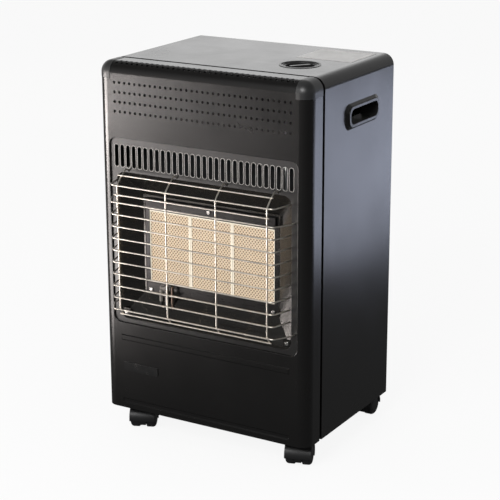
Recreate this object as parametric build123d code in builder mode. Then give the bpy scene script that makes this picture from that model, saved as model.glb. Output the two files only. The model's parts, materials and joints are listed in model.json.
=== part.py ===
from build123d import *
import os
from math import cos, radians, sin, sqrt

# A portable gas cabinet heater. X runs to the right as one faces it, Y runs
# from the front to the back and Z runs up. The origin is on the floor, in the
# middle of the footprint. Depths are measured back from the cabinet's front.
# All sizes are in millimetres.

os.makedirs("parts", exist_ok=True)

# ---- Cabinet ----
cabinet_width = 420.0
cabinet_depth = 310.0
cabinet_height = 640.0
floor_clearance = 50.0
bend_radius = 20.0
sheet = 1.0
fit_gap = 0.3
running_gap = 0.05
fascia_return = 45.0
groove_width = 7.5
front_hem = 6.0
rear_hem = 24.0
bottom_hem = 12.0
frame_wall = 1.5
frame_length = 24.0

# ---- Front fascia ----
mouth_margin = 22.0
mouth_height = 340.0
mouth_rise = 166.0
mouth_corner = 13.0
mouth_lip = 3.0
mouth_lip_round = 1.4
vent_hole_diameter = 4.8
vent_pitch = 10.6
vent_margin = 35.0
vent_rows = 4
vent_row_pitch = 17.0
vent_drop = 61.0
bend_vent_angles = (60.0, 80.0)
rib_margin = 36.0
rib_height = 1.5
rib_slope = 50.0
raised_rib_drop = 34.0
raised_rib_width = 11.0
sunk_rib_rise = 10.0
sunk_rib_width = 9.0

# ---- Corner caps ----
cap_width = 26.0
cap_drop = 29.0
cap_proud = 0.5
cap_wall = 2.2

# ---- Burner surround ----
surround_sheet = 1.2
surround_overlap = 7.0
slot_margin = 12.5
slot_pitch = 12.1
slot_width = 8.2
slot_drop = 11.5
slot_length = 40.2
surround_side = 12.0
surround_foot = 8.0
surround_bar = 8.3
firebox_corner = 16.0
hook_hole_radius = 2.1

# ---- Firebox liner ----
liner_sheet = 0.8
liner_flange = 9.0
liner_throat_depth = 29.0
throat_side = 10.0
throat_foot = 45.0
throat_head = 43.0
throat_lip = 3.0
liner_corner = 3.0
corner_tab = 15.0
corner_tab_depth = 7.0

# ---- Wire guard ----
guard_stand_off = 37.0
wire_diameter = 2.7
weld_gap = 0.02
guard_column_inset = 13.0
guard_columns = 4
guard_row_pitch = 21.83
guard_bottom_row_rise = 30.5
guard_last_row_drop = 40.0
guard_top_row_drop = 14.5
guard_stiffener_drop = 31.0
guard_front_inset = 13.0
guard_end_inset = 2.0
guard_hook_outset = 5.0
guard_end_depth = 2.0
guard_hook_depth = 7.0
guard_bend = 9.0
top_rail_rise = 0.7
top_rail_depth = -23.0
bottom_rail_rise = 19.5
bottom_rail_depth = -28.0
guard_hook_rise = 4.0
guard_crest_rise = 8.5
guard_crest_depth = -7.0
rail_inset = 21.0

# ---- Burner ----
plaque_pitch = 86.0
plaque_gap = 0.6
plaque_thickness = 12.0
plaque_border = 3.0
plaque_relief = 0.8
window_foot = 22.5
window_head = 27.5
window_lap = 2.5
window_side_lap = 0.7
burner_frame_sheet = 1.2
burner_frame_border = 11.0
burner_bar_height = 18.0
burner_bar_gap = 4.5
burner_bar_proud = 5.0
burner_bar_round = 1.8
burner_bar_end_gap = 3.0
frame_screw_inset = 2.0
frame_screw_drop = 3.0
burner_box_depth = 28.0
burner_box_wall = 0.8
mixing_tube_radius = 12.0
mixing_tube_wall = 1.0
mixing_tube_drop = 61.0
mixing_bell_radius = 16.0
mixing_bell_height = 10.0
jet_radius = 4.0
jet_height = 11.0
jet_nozzle_height = 4.0
jet_bore_radius = 0.6
jet_taper = 20.0
jet_gap = 4.0
manifold_radius = 4.0
manifold_bend = 15.0
boss_radius = 7.0
boss_height = 8.0

# ---- Pilot group ----
pilot_offset = 2.0
pilot_spacing = 12.0
pilot_depth = 21.0
pilot_rise = 0.5
pilot_length = 30.0
pilot_radius = 3.5
pilot_shelf_drop = 16.5
pilot_bracket_sheet = 1.2
pilot_bracket_width = 40.0
pilot_bracket_leg = 11.0
pilot_shelf_reach = 16.0
electrode_radius = 3.0
electrode_wire_radius = 0.8
thermocouple_radius = 2.5
lead_radius = 1.5
pilot_pipe_radius = 2.0
lead_drop = 10.0
lead_clearance = 11.0
lead_inset = 49.0
lead_x_step = 8.0
lead_first_depth = 66.0
lead_depth_step = 4.0
lead_bend = 20.0
lead_last_bend = 12.0

# ---- Gas valve and knob ----
knob_inset = 93.0
knob_depth = 135.5
well_radius = 36.0
well_rim_proud = 0.8
well_step = 1.3
well_step_width = 3.6
well_steps = 3
well_floor_gap = 1.0
well_wall = 1.6
knob_radius = 22.5
knob_disc = 4.5
knob_top_drop = 0.5
knob_bar_height = 9.0
knob_bar_width = 9.0
knob_bar_angle = 52.0
knob_bar_taper = 4.0
knob_skirt_radius = 5.0
knob_travel = 5.0
spindle_radius = 3.0
spindle_flat = 0.8
spindle_clip = 1.5
plunger_radius = 6.0
plunger_height = 9.0
plunger_drop = 3.0
valve_width = 50.0
valve_length = 40.0
valve_height = 42.0
valve_top_drop = 38.0
valve_offset = 3.0
valve_bore_depth = 24.0
bracket_sheet = 1.5
bracket_half = 44.0
bracket_width = 30.0
bracket_foot = 10.0
port_radius = 7.0
port_length = 6.0
outlet_offset = 19.0
nozzle_radius = 5.0
nozzle_length = 26.0
nozzle_nut_radius = 9.0
nozzle_nut_length = 9.0
nozzle_height_above_base = 13.0

# ---- Tray, shield and back ----
tray_sheet = 1.2
tray_upstand = 18.0
shield_depth = 84.0
shield_slot_margin = 4.0
rear_hem_gap = 4.0
brace_height = 76.0
brace_return = 12.0
brace_sheet = 1.2
cover_side_inset = 8.0
cover_foot = 6.0
cover_head_gap = 2.0
cover_bulge = 45.0
cover_side_margin = 32.0
cover_end_margin = 28.0
cover_corner = 40.0
cover_edge_round = 22.0
cover_flange_corner = 4.0
louvre_count = 6
louvre_length = 200.0
louvre_width = 6.0
louvre_pitch = 14.0
louvre_rise = 74.0
louvre_drop = 92.0
stud_inset = 8.0
stud_rise = 54.0
stud_drop = 52.0
stud_radius = 3.0
stud_length = 12.0
stud_head_radius = 7.0
stud_head_height = 6.0

# ---- Side handles ----
handle_depth = 187.5
handle_drop = 82.0
handle_length = 108.0
handle_opening = 32.0
handle_boss_length = 133.0
handle_boss_height = 49.0
handle_boss_proud = 4.0
handle_land = 2.5
handle_corner = 14.0
grip_depth = 30.0
grip_wall = 2.4
grip_flange = 2.0
grip_gap = 0.2

# ---- Plates ----
badge_width = 73.0
badge_height = 17.0
badge_inset = 41.0
badge_rise = 73.8
badge_thickness = 1.4
badge_corner = 3.0
foil_inset = 26.0
foil_width = 107.0
foil_back_margin = 18.0
foil_length = 97.0
foil_thickness = 0.3

# ---- Castors ----
castor_inset = 44.0
castor_front_depth = 60.0
castor_rear_inset = 21.0
castor_trail = 18.5
castor_headings = {"front_left": 204.0, "front_right": 199.0, "rear_left": -5.0, "rear_right": 2.0}
wheel_radius = 20.0
wheel_width = 16.6
wheel_inner_x = 6.7
wheel_round = 6.0
axle_radius = 3.0
axle_grip = 12.0
hub_radius = 14.0
hub_groove = 1.2
hood_radius = 22.6
hood_wall = 1.6
hood_half_width = 24.0
hood_web_half = 6.2
hood_front_angle = 212.0
hood_rear_angle = -8.0
hood_web_clearance = 9.0
hood_boss_radius = 9.0
stem_radius = 5.0
stem_rise = 34.0
stem_bottom = 29.0
socket_radius = 7.0
socket_flange_radius = 8.5
socket_flange = 1.5
socket_roof = 1.5

# ---- Screws ----
screw_radius = 1.8
screw_head_radius = 3.6
screw_head_height = 2.2
screw_length = 8.0
screw_slot = 0.8

# ---- Worked out from the sizes above ----
half_width = cabinet_width / 2
cabinet_bottom = floor_clearance
cabinet_top = floor_clearance + cabinet_height
wire_radius = wire_diameter / 2
guard_reach = guard_stand_off + wire_radius
front_y = (guard_reach - cabinet_depth - cover_bulge) / 2
wrap_front = fascia_return + groove_width
groove_centre = fascia_return + groove_width / 2
frame_inset = front_hem + running_gap
lining_inset = sheet + running_gap
tray_top = cabinet_bottom + sheet + tray_sheet
cap_inner_x = half_width - cap_width
cap_bottom = cabinet_top - cap_drop
cap_reach = cap_width + cap_proud
cap_length = fascia_return + cap_proud
cap_height = cap_drop + cap_proud
mouth_width = cabinet_width - 2 * mouth_margin
mouth_bottom = cabinet_bottom + mouth_rise
mouth_top = mouth_bottom + mouth_height
mouth_centre = mouth_bottom + mouth_height / 2
rib_length = cabinet_width - 2 * rib_margin
raised_rib_bottom = mouth_bottom - raised_rib_drop
sunk_rib_bottom = cabinet_bottom + sunk_rib_rise
vent_centre_height = cabinet_top - vent_drop
vent_columns = int((cabinet_width - 2 * vent_margin) / vent_pitch) + 1
slot_count = int((mouth_width - 2 * slot_margin) / slot_pitch) + 1
slot_top = mouth_top - slot_drop
slot_bottom = slot_top - slot_length
firebox_width = mouth_width - 2 * surround_side
firebox_bottom = mouth_bottom + surround_foot
firebox_top = slot_bottom - surround_bar
firebox_height = firebox_top - firebox_bottom
firebox_centre = (firebox_top + firebox_bottom) / 2
liner_front = mouth_lip + surround_sheet
liner_back = liner_throat_depth + liner_sheet
liner_width = firebox_width + 2 * liner_sheet
liner_height = firebox_height + 2 * liner_sheet
throat_width = 3 * plaque_pitch + 2 * throat_side
throat_bottom = firebox_bottom + throat_foot
throat_top = firebox_top - throat_head
throat_height = throat_top - throat_bottom
throat_centre = (throat_top + throat_bottom) / 2
tab_inset = 0.75 * corner_tab
tab_screw_spots = [
    (side * (liner_width / 2 - tab_inset), firebox_centre - liner_height / 2 + tab_inset)
    for side in (-1, 1)
]
plaque_front = liner_back + burner_frame_sheet
plaque_back = plaque_front + plaque_thickness
plaque_width = plaque_pitch - plaque_gap
window_bottom = throat_bottom + window_foot
window_top = throat_top - window_head
window_height = window_top - window_bottom
window_centre = (window_top + window_bottom) / 2
window_half = 1.5 * plaque_pitch - plaque_gap / 2 - window_side_lap
plaque_height = window_height + 2 * window_lap
plaque_bottom = window_bottom - window_lap
burner_bar_length = throat_width - 2 * throat_lip - 2 * burner_bar_end_gap
burner_bar_centre = window_top + burner_bar_gap + burner_bar_height / 2
frame_screw_height = (throat_bottom + throat_lip + plaque_bottom) / 2 - frame_screw_drop
frame_screw_spots = [
    (-window_half + frame_screw_inset, liner_back, frame_screw_height),
    (window_half - frame_screw_inset, liner_back, frame_screw_height),
    (0.0, liner_back - burner_bar_proud, burner_bar_centre),
]
guard_front_half = firebox_width / 2 - guard_front_inset
guard_end_half = firebox_width / 2 - guard_end_inset
guard_hook_half = firebox_width / 2 + guard_hook_outset
rail_half = firebox_width / 2 - rail_inset
guard_column_pitch = 2 * (guard_front_half - guard_column_inset) / (guard_columns - 1)
guard_bottom_row = firebox_bottom + guard_bottom_row_rise
guard_top_row = firebox_top - guard_top_row_drop
guard_stiffener_row = firebox_top - guard_stiffener_drop
guard_row_room = firebox_top - guard_last_row_drop - guard_bottom_row
guard_row_count = int(guard_row_room / guard_row_pitch) + 1
top_rail_height = firebox_top + top_rail_rise
bottom_rail_height = firebox_bottom + bottom_rail_rise
guard_hook_height = firebox_top + guard_hook_rise
guard_crest_height = firebox_top + guard_crest_rise
guard_rows = [guard_bottom_row + index * guard_row_pitch for index in range(guard_row_count)]
hooked_rows = (guard_rows[0], guard_rows[-1])
weld_pitch = wire_diameter + weld_gap
column_depth = weld_pitch - guard_stand_off
pilot_x = -plaque_pitch - pilot_offset
pilot_top = window_bottom + pilot_rise
pilot_bottom = pilot_top - pilot_length
pilot_shelf_height = window_bottom - pilot_shelf_drop
pilot_group = [
    (pilot_x - pilot_spacing, electrode_radius),
    (pilot_x, pilot_radius),
    (pilot_x + pilot_spacing, thermocouple_radius),
]
tube_depth = plaque_back + burner_box_depth / 2
mixing_tube_bottom = plaque_bottom - mixing_tube_drop
jet_top = mixing_tube_bottom - jet_gap
manifold_height = jet_top - jet_height - jet_nozzle_height - boss_height
lead_top_height = manifold_height - lead_clearance
lead_first_x = half_width - lead_inset
knob_x = half_width - knob_inset
well_seat = well_radius - well_step_width + well_wall
knob_y = front_y + knob_depth
knob_top = cabinet_top - knob_top_drop
knob_disc_top = knob_top - knob_bar_height
knob_bottom = knob_disc_top - knob_disc
valve_top = cabinet_top - valve_top_drop
valve_base = valve_top - valve_height
valve_x = knob_x + valve_offset
valve_front = knob_depth - valve_length / 2
valve_back = knob_depth + valve_length / 2
valve_right = valve_x + valve_width / 2
outlet_x = knob_x + outlet_offset
outlet_height = valve_base + port_radius + sheet
nozzle_height = valve_base + nozzle_height_above_base
plunger_top = valve_top - plunger_drop
handle_height = cabinet_top - handle_drop
handle_face = half_width + handle_boss_proud
handle_land_length = handle_length + 2 * handle_land
handle_land_height = handle_opening + 2 * handle_land
cover_front = cabinet_depth + fit_gap
cover_width = cabinet_width - 2 * cover_side_inset
cover_bottom = cabinet_bottom + cover_foot
cover_top = cabinet_top - brace_height - cover_head_gap
cover_height = cover_top - cover_bottom
cover_centre = (cover_top + cover_bottom) / 2
rear_hem_top = cover_top - rear_hem_gap
louvre_heights = (cover_bottom + louvre_rise, cover_top - louvre_drop)
stud_x = cover_width / 2 - stud_inset
stud_heights = (cover_bottom + stud_rise, cover_top - stud_drop)
badge_left = badge_inset - half_width
badge_bottom = cabinet_bottom + badge_rise
foil_left = half_width - foil_inset - foil_width
foil_depth = cabinet_depth - foil_back_margin - foil_length
castor_x = half_width - castor_inset
castor_rear_depth = cabinet_depth - castor_rear_inset
stem_top = cabinet_bottom + stem_rise
socket_bottom = cabinet_bottom + sheet - socket_flange
hood_top = socket_bottom - fit_gap
axle_half = wheel_inner_x + axle_grip
sides = {"left": -1, "right": 1}
plaque_xs = {"left": -plaque_pitch, "centre": 0.0, "right": plaque_pitch}
castor_spots = {
    "front_left": (-castor_x, castor_front_depth),
    "front_right": (castor_x, castor_front_depth),
    "rear_left": (-castor_x, castor_rear_depth),
    "rear_right": (castor_x, castor_rear_depth),
}


def save(part, name):
    """Label a finished piece and write it."""
    part.label = name
    export_step(part, f"parts/{name}.step")


def upright(depth, x=0.0, z=0.0):
    """A plane that faces the front, at a depth behind the cabinet's front."""
    return Plane(origin=(x, front_y + depth, z), x_dir=(1, 0, 0), z_dir=(0, -1, 0))


def backward(depth, x=0.0, z=0.0):
    """A plane that faces the back. Its own Y axis points down."""
    return Plane(origin=(x, front_y + depth, z), x_dir=(1, 0, 0), z_dir=(0, 1, 0))


def sideways(side, distance, depth, z):
    """A plane that faces out of the left (-1) or right (1) side."""
    return Plane(origin=(side * distance, front_y + depth, z), x_dir=(0, 1, 0), z_dir=(side, 0, 0))


def spot(x, depth, z):
    """A point given by its depth behind the front."""
    return (x, front_y + depth, z)


def cabinet_outline(inset, bottom, mode=Mode.ADD):
    """The cabinet's front view, brought in by an inset, down to a height."""
    half = half_width - inset
    top = cabinet_top - inset
    with BuildLine() as outline:
        FilletPolyline(
            (-half, bottom), (-half, top), (half, top), (half, bottom), radius=bend_radius - inset
        )
        Line((half, bottom), (-half, bottom))
    make_face(outline.edges(), mode=mode)


def cap_centre(side):
    """The middle of the corner that a cap takes from the fascia."""
    return spot(
        side * (cap_inner_x + cap_reach / 2),
        (fascia_return - cap_proud) / 2,
        cap_bottom + cap_height / 2,
    )


def upright_box(width, height, corner, centre_height, mode=Mode.ADD):
    """A rounded rectangle on an upright plane."""
    with Locations((0, centre_height)):
        RectangleRounded(width, height, corner, mode=mode)


def rounded_front(inset, back, bottom):
    """A block with the rounded front edges of the cabinet, brought in by an inset."""
    width = cabinet_width - 2 * inset
    height = cabinet_top - inset - bottom
    length = back - inset
    with BuildPart() as block:
        with Locations(spot(0, inset + length / 2, bottom + height / 2)):
            Box(width, length, height)
        face = block.faces().sort_by(Axis.Y)[0]
        front_edges = face.edges().sort_by(Axis.Z)[1:]
        top_edges = block.edges().filter_by(Axis.Y).sort_by(Axis.Z)[-2:]
        fillet(front_edges + top_edges, radius=bend_radius - inset)
    return block.part


def wire(points, radius, bend):
    """A round wire or pipe through points, with its corners bent to a radius."""
    with BuildPart() as rod:
        with BuildLine() as path:
            if len(points) > 2:
                FilletPolyline(*points, radius=bend)
            else:
                Line(*points)
        with BuildSketch(Plane(origin=path.line @ 0, z_dir=path.line % 0)):
            Circle(radius)
        sweep(path=path.line)
    return rod.part


def pan_screw(x, depth, z):
    """A pan-head screw whose head stands out of a plate's front."""
    with BuildPart() as screw:
        with BuildSketch(upright(depth, x, z)):
            Circle(screw_head_radius)
        extrude(amount=screw_head_height)
        fillet(screw.faces().sort_by(Axis.Y)[0].edges(), radius=screw_head_height / 2)
        with BuildSketch(upright(depth, x, z)):
            Circle(screw_radius)
        extrude(amount=-screw_length)
        with BuildSketch(upright(depth - screw_head_height, x, z)):
            Rectangle(screw_head_radius, screw_slot)
            Rectangle(screw_slot, screw_head_radius)
        extrude(amount=-screw_slot, mode=Mode.SUBTRACT)
    return screw.part


# ---- Cabinet sheet metal ----

def make_cabinet_wrap():
    press = (
        (half_width - 2 * sheet, handle_boss_length, handle_boss_height),
        (handle_face, handle_land_length, handle_land_height),
    )
    with BuildPart() as wrap:
        with BuildSketch(upright(wrap_front)):
            cabinet_outline(0, cabinet_bottom)
            cabinet_outline(sheet, cabinet_bottom, Mode.SUBTRACT)
        extrude(amount=-(cabinet_depth - wrap_front))
        for depth, hem in ((wrap_front, front_hem), (cabinet_depth - sheet, rear_hem)):
            with BuildSketch(upright(depth)):
                cabinet_outline(0, cabinet_bottom)
                cabinet_outline(front_hem, cabinet_bottom, Mode.SUBTRACT)
                if hem > front_hem:
                    for side in (-1, 1):
                        with Locations((side * (half_width - hem / 2), (rear_hem_top + cabinet_bottom) / 2)):
                            Rectangle(hem, rear_hem_top - cabinet_bottom)
            extrude(amount=-sheet)
        for side in (-1, 1):
            hem_x = side * (half_width - bottom_hem / 2)
            with Locations(spot(hem_x, (wrap_front + cabinet_depth) / 2, cabinet_bottom + sheet / 2)):
                Box(bottom_hem, cabinet_depth - wrap_front, sheet)
        # The raised press round each handle hole, then the hollow behind it.
        for side in (-1, 1):
            for inset, mode in ((0.0, Mode.ADD), (sheet, Mode.SUBTRACT)):
                for distance, length, height in press:
                    with BuildSketch(sideways(side, distance - inset, handle_depth, handle_height)):
                        RectangleRounded(length - 2 * inset, height - 2 * inset, handle_corner - inset)
                loft(mode=mode)
            with BuildSketch(sideways(side, handle_face, handle_depth, handle_height)):
                RectangleRounded(handle_length, handle_opening, handle_corner)
            extrude(amount=-(handle_boss_proud + 2 * sheet), mode=Mode.SUBTRACT)
        with Locations((knob_x, knob_y, cabinet_top)):
            Hole(radius=well_seat + running_gap, depth=2 * sheet)
        for side in (-1, 1):
            for height in stud_heights:
                with BuildSketch(upright(cabinet_depth - 2 * sheet, side * stud_x, height)):
                    Circle(stud_radius + 2 * fit_gap)
                extrude(amount=-4 * sheet, mode=Mode.SUBTRACT)
    return wrap.part


def make_front_fascia():
    outer = rounded_front(0, fascia_return, cabinet_bottom)
    inner = rounded_front(sheet, fascia_return - sheet, cabinet_bottom + sheet)
    with BuildPart() as fascia:
        add(outer)
        add(inner, mode=Mode.SUBTRACT)
        # The back flange stops at the frame, and the floor is a short hem.
        with BuildSketch(upright(bottom_hem)):
            cabinet_outline(front_hem, cabinet_bottom - sheet)
        extrude(amount=-fascia_return, mode=Mode.SUBTRACT)
        with BuildSketch(upright(0, 0, mouth_centre)):
            RectangleRounded(mouth_width + 2 * sheet, mouth_height + 2 * sheet, mouth_corner + sheet)
        extrude(amount=-mouth_lip)
        with BuildSketch(upright(0, 0, mouth_centre)):
            RectangleRounded(mouth_width, mouth_height, mouth_corner)
        extrude(amount=-mouth_lip - sheet, mode=Mode.SUBTRACT)
        mouth_edges = [
            edge
            for edge in fascia.edges().filter_by_position(Axis.Y, front_y - sheet / 10, front_y + sheet / 10)
            if abs(edge.center().X) < mouth_width / 2 + sheet / 2
            and mouth_bottom - sheet / 2 < edge.center().Z < mouth_bottom + mouth_height + sheet / 2
        ]
        fillet(mouth_edges, radius=mouth_lip_round)
        # A raised rib above and a sunk one below, each pressed in the sheet.
        raised_centre = raised_rib_bottom + raised_rib_width / 2
        with BuildSketch(upright(0, 0, raised_centre)):
            Rectangle(rib_length, raised_rib_width)
        extrude(amount=rib_height, taper=rib_slope)
        with BuildSketch(upright(sheet, 0, raised_centre)):
            Rectangle(rib_length, raised_rib_width)
        extrude(amount=rib_height, taper=rib_slope, mode=Mode.SUBTRACT)
        sunk_centre = sunk_rib_bottom + sunk_rib_width / 2
        with BuildSketch(backward(sheet, 0, sunk_centre)):
            Rectangle(rib_length, sunk_rib_width)
        extrude(amount=rib_height, taper=rib_slope)
        with BuildSketch(backward(0, 0, sunk_centre)):
            Rectangle(rib_length, sunk_rib_width)
        extrude(amount=rib_height, taper=rib_slope, mode=Mode.SUBTRACT)
        # The corners are left out for the moulded caps.
        for side in (-1, 1):
            with Locations(cap_centre(side)):
                Box(cap_reach, cap_length, cap_height, mode=Mode.SUBTRACT)
        # Rows of round air holes on the flat and round the top bend.
        with BuildSketch(upright(0, 0, vent_centre_height)):
            with GridLocations(vent_pitch, vent_row_pitch, vent_columns, vent_rows):
                Circle(vent_hole_diameter / 2)
        extrude(amount=-2 * sheet, mode=Mode.SUBTRACT)
        for row, angle in enumerate(bend_vent_angles):
            out = Vector(0, -cos(radians(angle)), sin(radians(angle)))
            bend_centre = Vector(spot(0, bend_radius, cabinet_top - bend_radius))
            above = bend_centre + out * (bend_radius + sheet)
            with BuildSketch(Plane(origin=above, x_dir=(1, 0, 0), z_dir=out)):
                with GridLocations(vent_pitch, 1, vent_columns - row, 1):
                    Circle(vent_hole_diameter / 2)
            extrude(amount=-3 * sheet, mode=Mode.SUBTRACT)
    return fascia.part


def make_corner_cap(side):
    outer = rounded_front(-cap_proud, fascia_return, cabinet_bottom)
    inner = rounded_front(cap_wall, fascia_return - cap_wall, cabinet_bottom)
    with BuildPart() as cap:
        add(outer)
        add(inner, mode=Mode.SUBTRACT)
        with BuildSketch(upright(bend_radius)):
            cabinet_outline(front_hem, cabinet_bottom)
        extrude(amount=-fascia_return, mode=Mode.SUBTRACT)
        with Locations(cap_centre(side)):
            Box(cap_reach, cap_length, cap_height, mode=Mode.INTERSECT)
    return cap.part


def make_front_frame():
    with BuildPart() as frame:
        with BuildSketch(upright(groove_centre - frame_length / 2)):
            cabinet_outline(frame_inset, tray_top)
            cabinet_outline(frame_inset + frame_wall, tray_top, Mode.SUBTRACT)
        extrude(amount=-frame_length)
    return frame.part


def make_burner_surround():
    with BuildPart() as surround:
        with BuildSketch(upright(mouth_lip)):
            upright_box(
                mouth_width + 2 * surround_overlap,
                mouth_height + 2 * surround_overlap,
                mouth_corner,
                mouth_centre,
            )
            upright_box(firebox_width, firebox_height, firebox_corner, firebox_centre, Mode.SUBTRACT)
            with Locations((0, (slot_top + slot_bottom) / 2)):
                with GridLocations(slot_pitch, 1, slot_count, 1):
                    SlotOverall(slot_top - slot_bottom, slot_width, rotation=90, mode=Mode.SUBTRACT)
            hook_holes(hook_hole_radius)
        extrude(amount=-surround_sheet)
    return surround.part


def hook_holes(radius, mode=Mode.SUBTRACT):
    """The holes for the guard's hooks, in a front view."""
    with Locations((0, guard_hook_height)):
        with GridLocations(guard_column_pitch, 1, guard_columns, 1):
            Circle(radius, mode=mode)
    with Locations(*[(side * guard_hook_half, height) for side in (-1, 1) for height in hooked_rows]):
        Circle(radius, mode=mode)


def make_firebox_liner():
    with BuildPart() as liner:
        for grow, mode in ((liner_sheet, Mode.ADD), (0.0, Mode.SUBTRACT)):
            with BuildSketch(upright(liner_front)):
                upright_box(
                    liner_width + 2 * grow, liner_height + 2 * grow, liner_corner + grow, firebox_centre
                )
            with BuildSketch(upright(liner_throat_depth)):
                upright_box(
                    throat_width + 2 * grow, throat_height + 2 * grow, liner_corner + grow, throat_centre
                )
            loft(mode=mode)
        with BuildSketch(upright(liner_front)):
            upright_box(
                liner_width + 2 * liner_flange, liner_height + 2 * liner_flange, liner_corner, firebox_centre
            )
            upright_box(liner_width, liner_height, liner_corner, firebox_centre, Mode.SUBTRACT)
            hook_holes(hook_hole_radius + fit_gap)
        extrude(amount=-liner_sheet)
        with BuildSketch(upright(liner_throat_depth)):
            upright_box(
                throat_width + 2 * liner_sheet, throat_height + 2 * liner_sheet, liner_corner, throat_centre
            )
            upright_box(
                throat_width - 2 * throat_lip,
                throat_height - 2 * throat_lip,
                liner_corner,
                throat_centre,
                Mode.SUBTRACT,
            )
        extrude(amount=-liner_sheet)
        # Tabs in the lower corners take the fixing screws, which go on through the slope.
        with BuildSketch(upright(corner_tab_depth)):
            with Locations(*tab_screw_spots):
                Rectangle(corner_tab, corner_tab)
        extrude(amount=-liner_sheet)
        with BuildSketch(upright(corner_tab_depth - sheet)):
            with Locations(*tab_screw_spots):
                Circle(screw_radius + running_gap)
        extrude(amount=-(screw_length + 2 * sheet), mode=Mode.SUBTRACT)
        # The pilot group passes through the floor.
        for x, radius in pilot_group:
            with Locations(spot(x, pilot_depth, pilot_bottom)):
                Cylinder(radius + 2 * fit_gap, 3 * pilot_spacing, mode=Mode.SUBTRACT)
    return liner.part


def guard_row(height):
    """One wire that runs across the guard's front and back along both sides."""
    hooked = height in hooked_rows
    if hooked:
        end = [
            spot(guard_hook_half, guard_hook_depth, height),
            spot(guard_hook_half, -guard_hook_depth, height),
        ]
    else:
        end = [spot(guard_end_half, guard_end_depth, height)]
    corner = spot(guard_front_half, -guard_stand_off, height)
    right = [*end, corner]
    left = [(-x, y, z) for x, y, z in reversed(right)]
    return wire([*right, *left], wire_radius, guard_bend)


def guard_column(x):
    """One upright wire, hooked over the surround's top and bent in at the foot."""
    points = [
        spot(x, bottom_rail_depth + weld_pitch, bottom_rail_height),
        spot(x, column_depth, guard_bottom_row),
        spot(x, column_depth, guard_top_row),
        spot(x, top_rail_depth + weld_pitch / sqrt(2), top_rail_height - weld_pitch / sqrt(2)),
        spot(x, guard_crest_depth, guard_crest_height),
        spot(x, guard_hook_depth, guard_hook_height - wire_radius),
    ]
    return wire(points, wire_radius, wire_diameter)


def make_wire_guard():
    """Each wire is a solid of its own, a hair from the ones it is welded to."""
    column_half = guard_column_pitch * (guard_columns - 1) / 2
    wires = [guard_column(index * guard_column_pitch - column_half) for index in range(guard_columns)]
    wires += [guard_row(height) for height in [*guard_rows, guard_top_row]]
    for depth, height in (
        (-guard_stand_off, guard_stiffener_row),
        (top_rail_depth, top_rail_height),
        (bottom_rail_depth, bottom_rail_height),
    ):
        ends = [spot(side * rail_half, depth, height) for side in (-1, 1)]
        wires.append(wire(ends, wire_radius, wire_diameter))
    with BuildPart() as guard:
        add(wires)
    return guard.part


# ---- Burner ----

def make_burner_frame():
    with BuildPart() as frame:
        with BuildSketch(upright(liner_back, 0, throat_centre)):
            Rectangle(throat_width + 2 * burner_frame_border, throat_height + 2 * burner_frame_border)
            with Locations((0, window_centre - throat_centre)):
                Rectangle(2 * window_half, window_height, mode=Mode.SUBTRACT)
        extrude(amount=-burner_frame_sheet)
        with BuildSketch(upright(liner_back, 0, burner_bar_centre)):
            Rectangle(burner_bar_length, burner_bar_height)
        extrude(amount=burner_bar_proud)
        fillet(frame.faces().sort_by(Axis.Y)[0].edges(), radius=burner_bar_round)
        for x, depth, height in frame_screw_spots:
            with BuildSketch(upright(depth - sheet, x, height)):
                Circle(screw_radius + running_gap)
            extrude(amount=-(screw_length + 2 * sheet), mode=Mode.SUBTRACT)
    return frame.part


def make_burner_screws():
    tab_screws = [pan_screw(x, corner_tab_depth, height) for x, height in tab_screw_spots]
    frame_screws = [pan_screw(x, depth, height) for x, depth, height in frame_screw_spots]
    with BuildPart() as screws:
        add(tab_screws + frame_screws)
    return screws.part


def make_plaque(x):
    with BuildPart() as plaque:
        with BuildSketch(upright(plaque_front, x, window_centre)):
            Rectangle(plaque_width, plaque_height)
        extrude(amount=-plaque_thickness)
        with BuildSketch(upright(plaque_front, x, window_centre)):
            Rectangle(plaque_width - 2 * plaque_border, window_height - 2 * plaque_border)
        extrude(amount=-plaque_relief, mode=Mode.SUBTRACT)
    return plaque.part


def mixing_tube(x, wall, top, mode):
    """A tube down to a flared mouth, as its outside or, with its wall, its inside."""
    bell_top = mixing_tube_bottom + mixing_bell_height
    with BuildSketch(Plane(origin=spot(x, tube_depth, mixing_tube_bottom))) as bell:
        Circle(mixing_bell_radius - wall)
    with BuildSketch(Plane(origin=spot(x, tube_depth, bell_top))) as tube:
        Circle(mixing_tube_radius - wall)
    extrude(tube.sketch, amount=top - bell_top, mode=mode)
    loft([bell.sketch, tube.sketch], mode=mode)


def make_burner_box(x):
    """An open plenum behind one plaque, with its mixing tube below."""
    inner_width = plaque_width - 2 * burner_box_wall
    inner_height = plaque_height - 2 * burner_box_wall
    with BuildPart() as box:
        with BuildSketch(upright(plaque_back, x, window_centre)):
            Rectangle(plaque_width, plaque_height)
        extrude(amount=-burner_box_depth)
        mixing_tube(x, 0.0, plaque_bottom + burner_box_wall, Mode.ADD)
        with BuildSketch(upright(plaque_back, x, window_centre)):
            Rectangle(inner_width, inner_height)
        extrude(amount=burner_box_wall - burner_box_depth, mode=Mode.SUBTRACT)
        mixing_tube(x, mixing_tube_wall, plaque_bottom + 2 * burner_box_wall, Mode.SUBTRACT)
    return box.part


def make_gas_jets():
    base = manifold_height + boss_height
    with BuildPart() as jets:
        for x in plaque_xs.values():
            with BuildSketch(Plane(origin=spot(x, tube_depth, base))):
                RegularPolygon(jet_radius + sheet, 6)
            extrude(amount=jet_height)
            with BuildSketch(Plane(origin=spot(x, tube_depth, base + jet_height))):
                Circle(jet_radius)
            extrude(amount=jet_nozzle_height, taper=jet_taper)
            with Locations(spot(x, tube_depth, base + (jet_height + jet_nozzle_height) / 2)):
                Cylinder(jet_bore_radius, jet_height + 2 * jet_nozzle_height, mode=Mode.SUBTRACT)
    return jets.part


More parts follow.
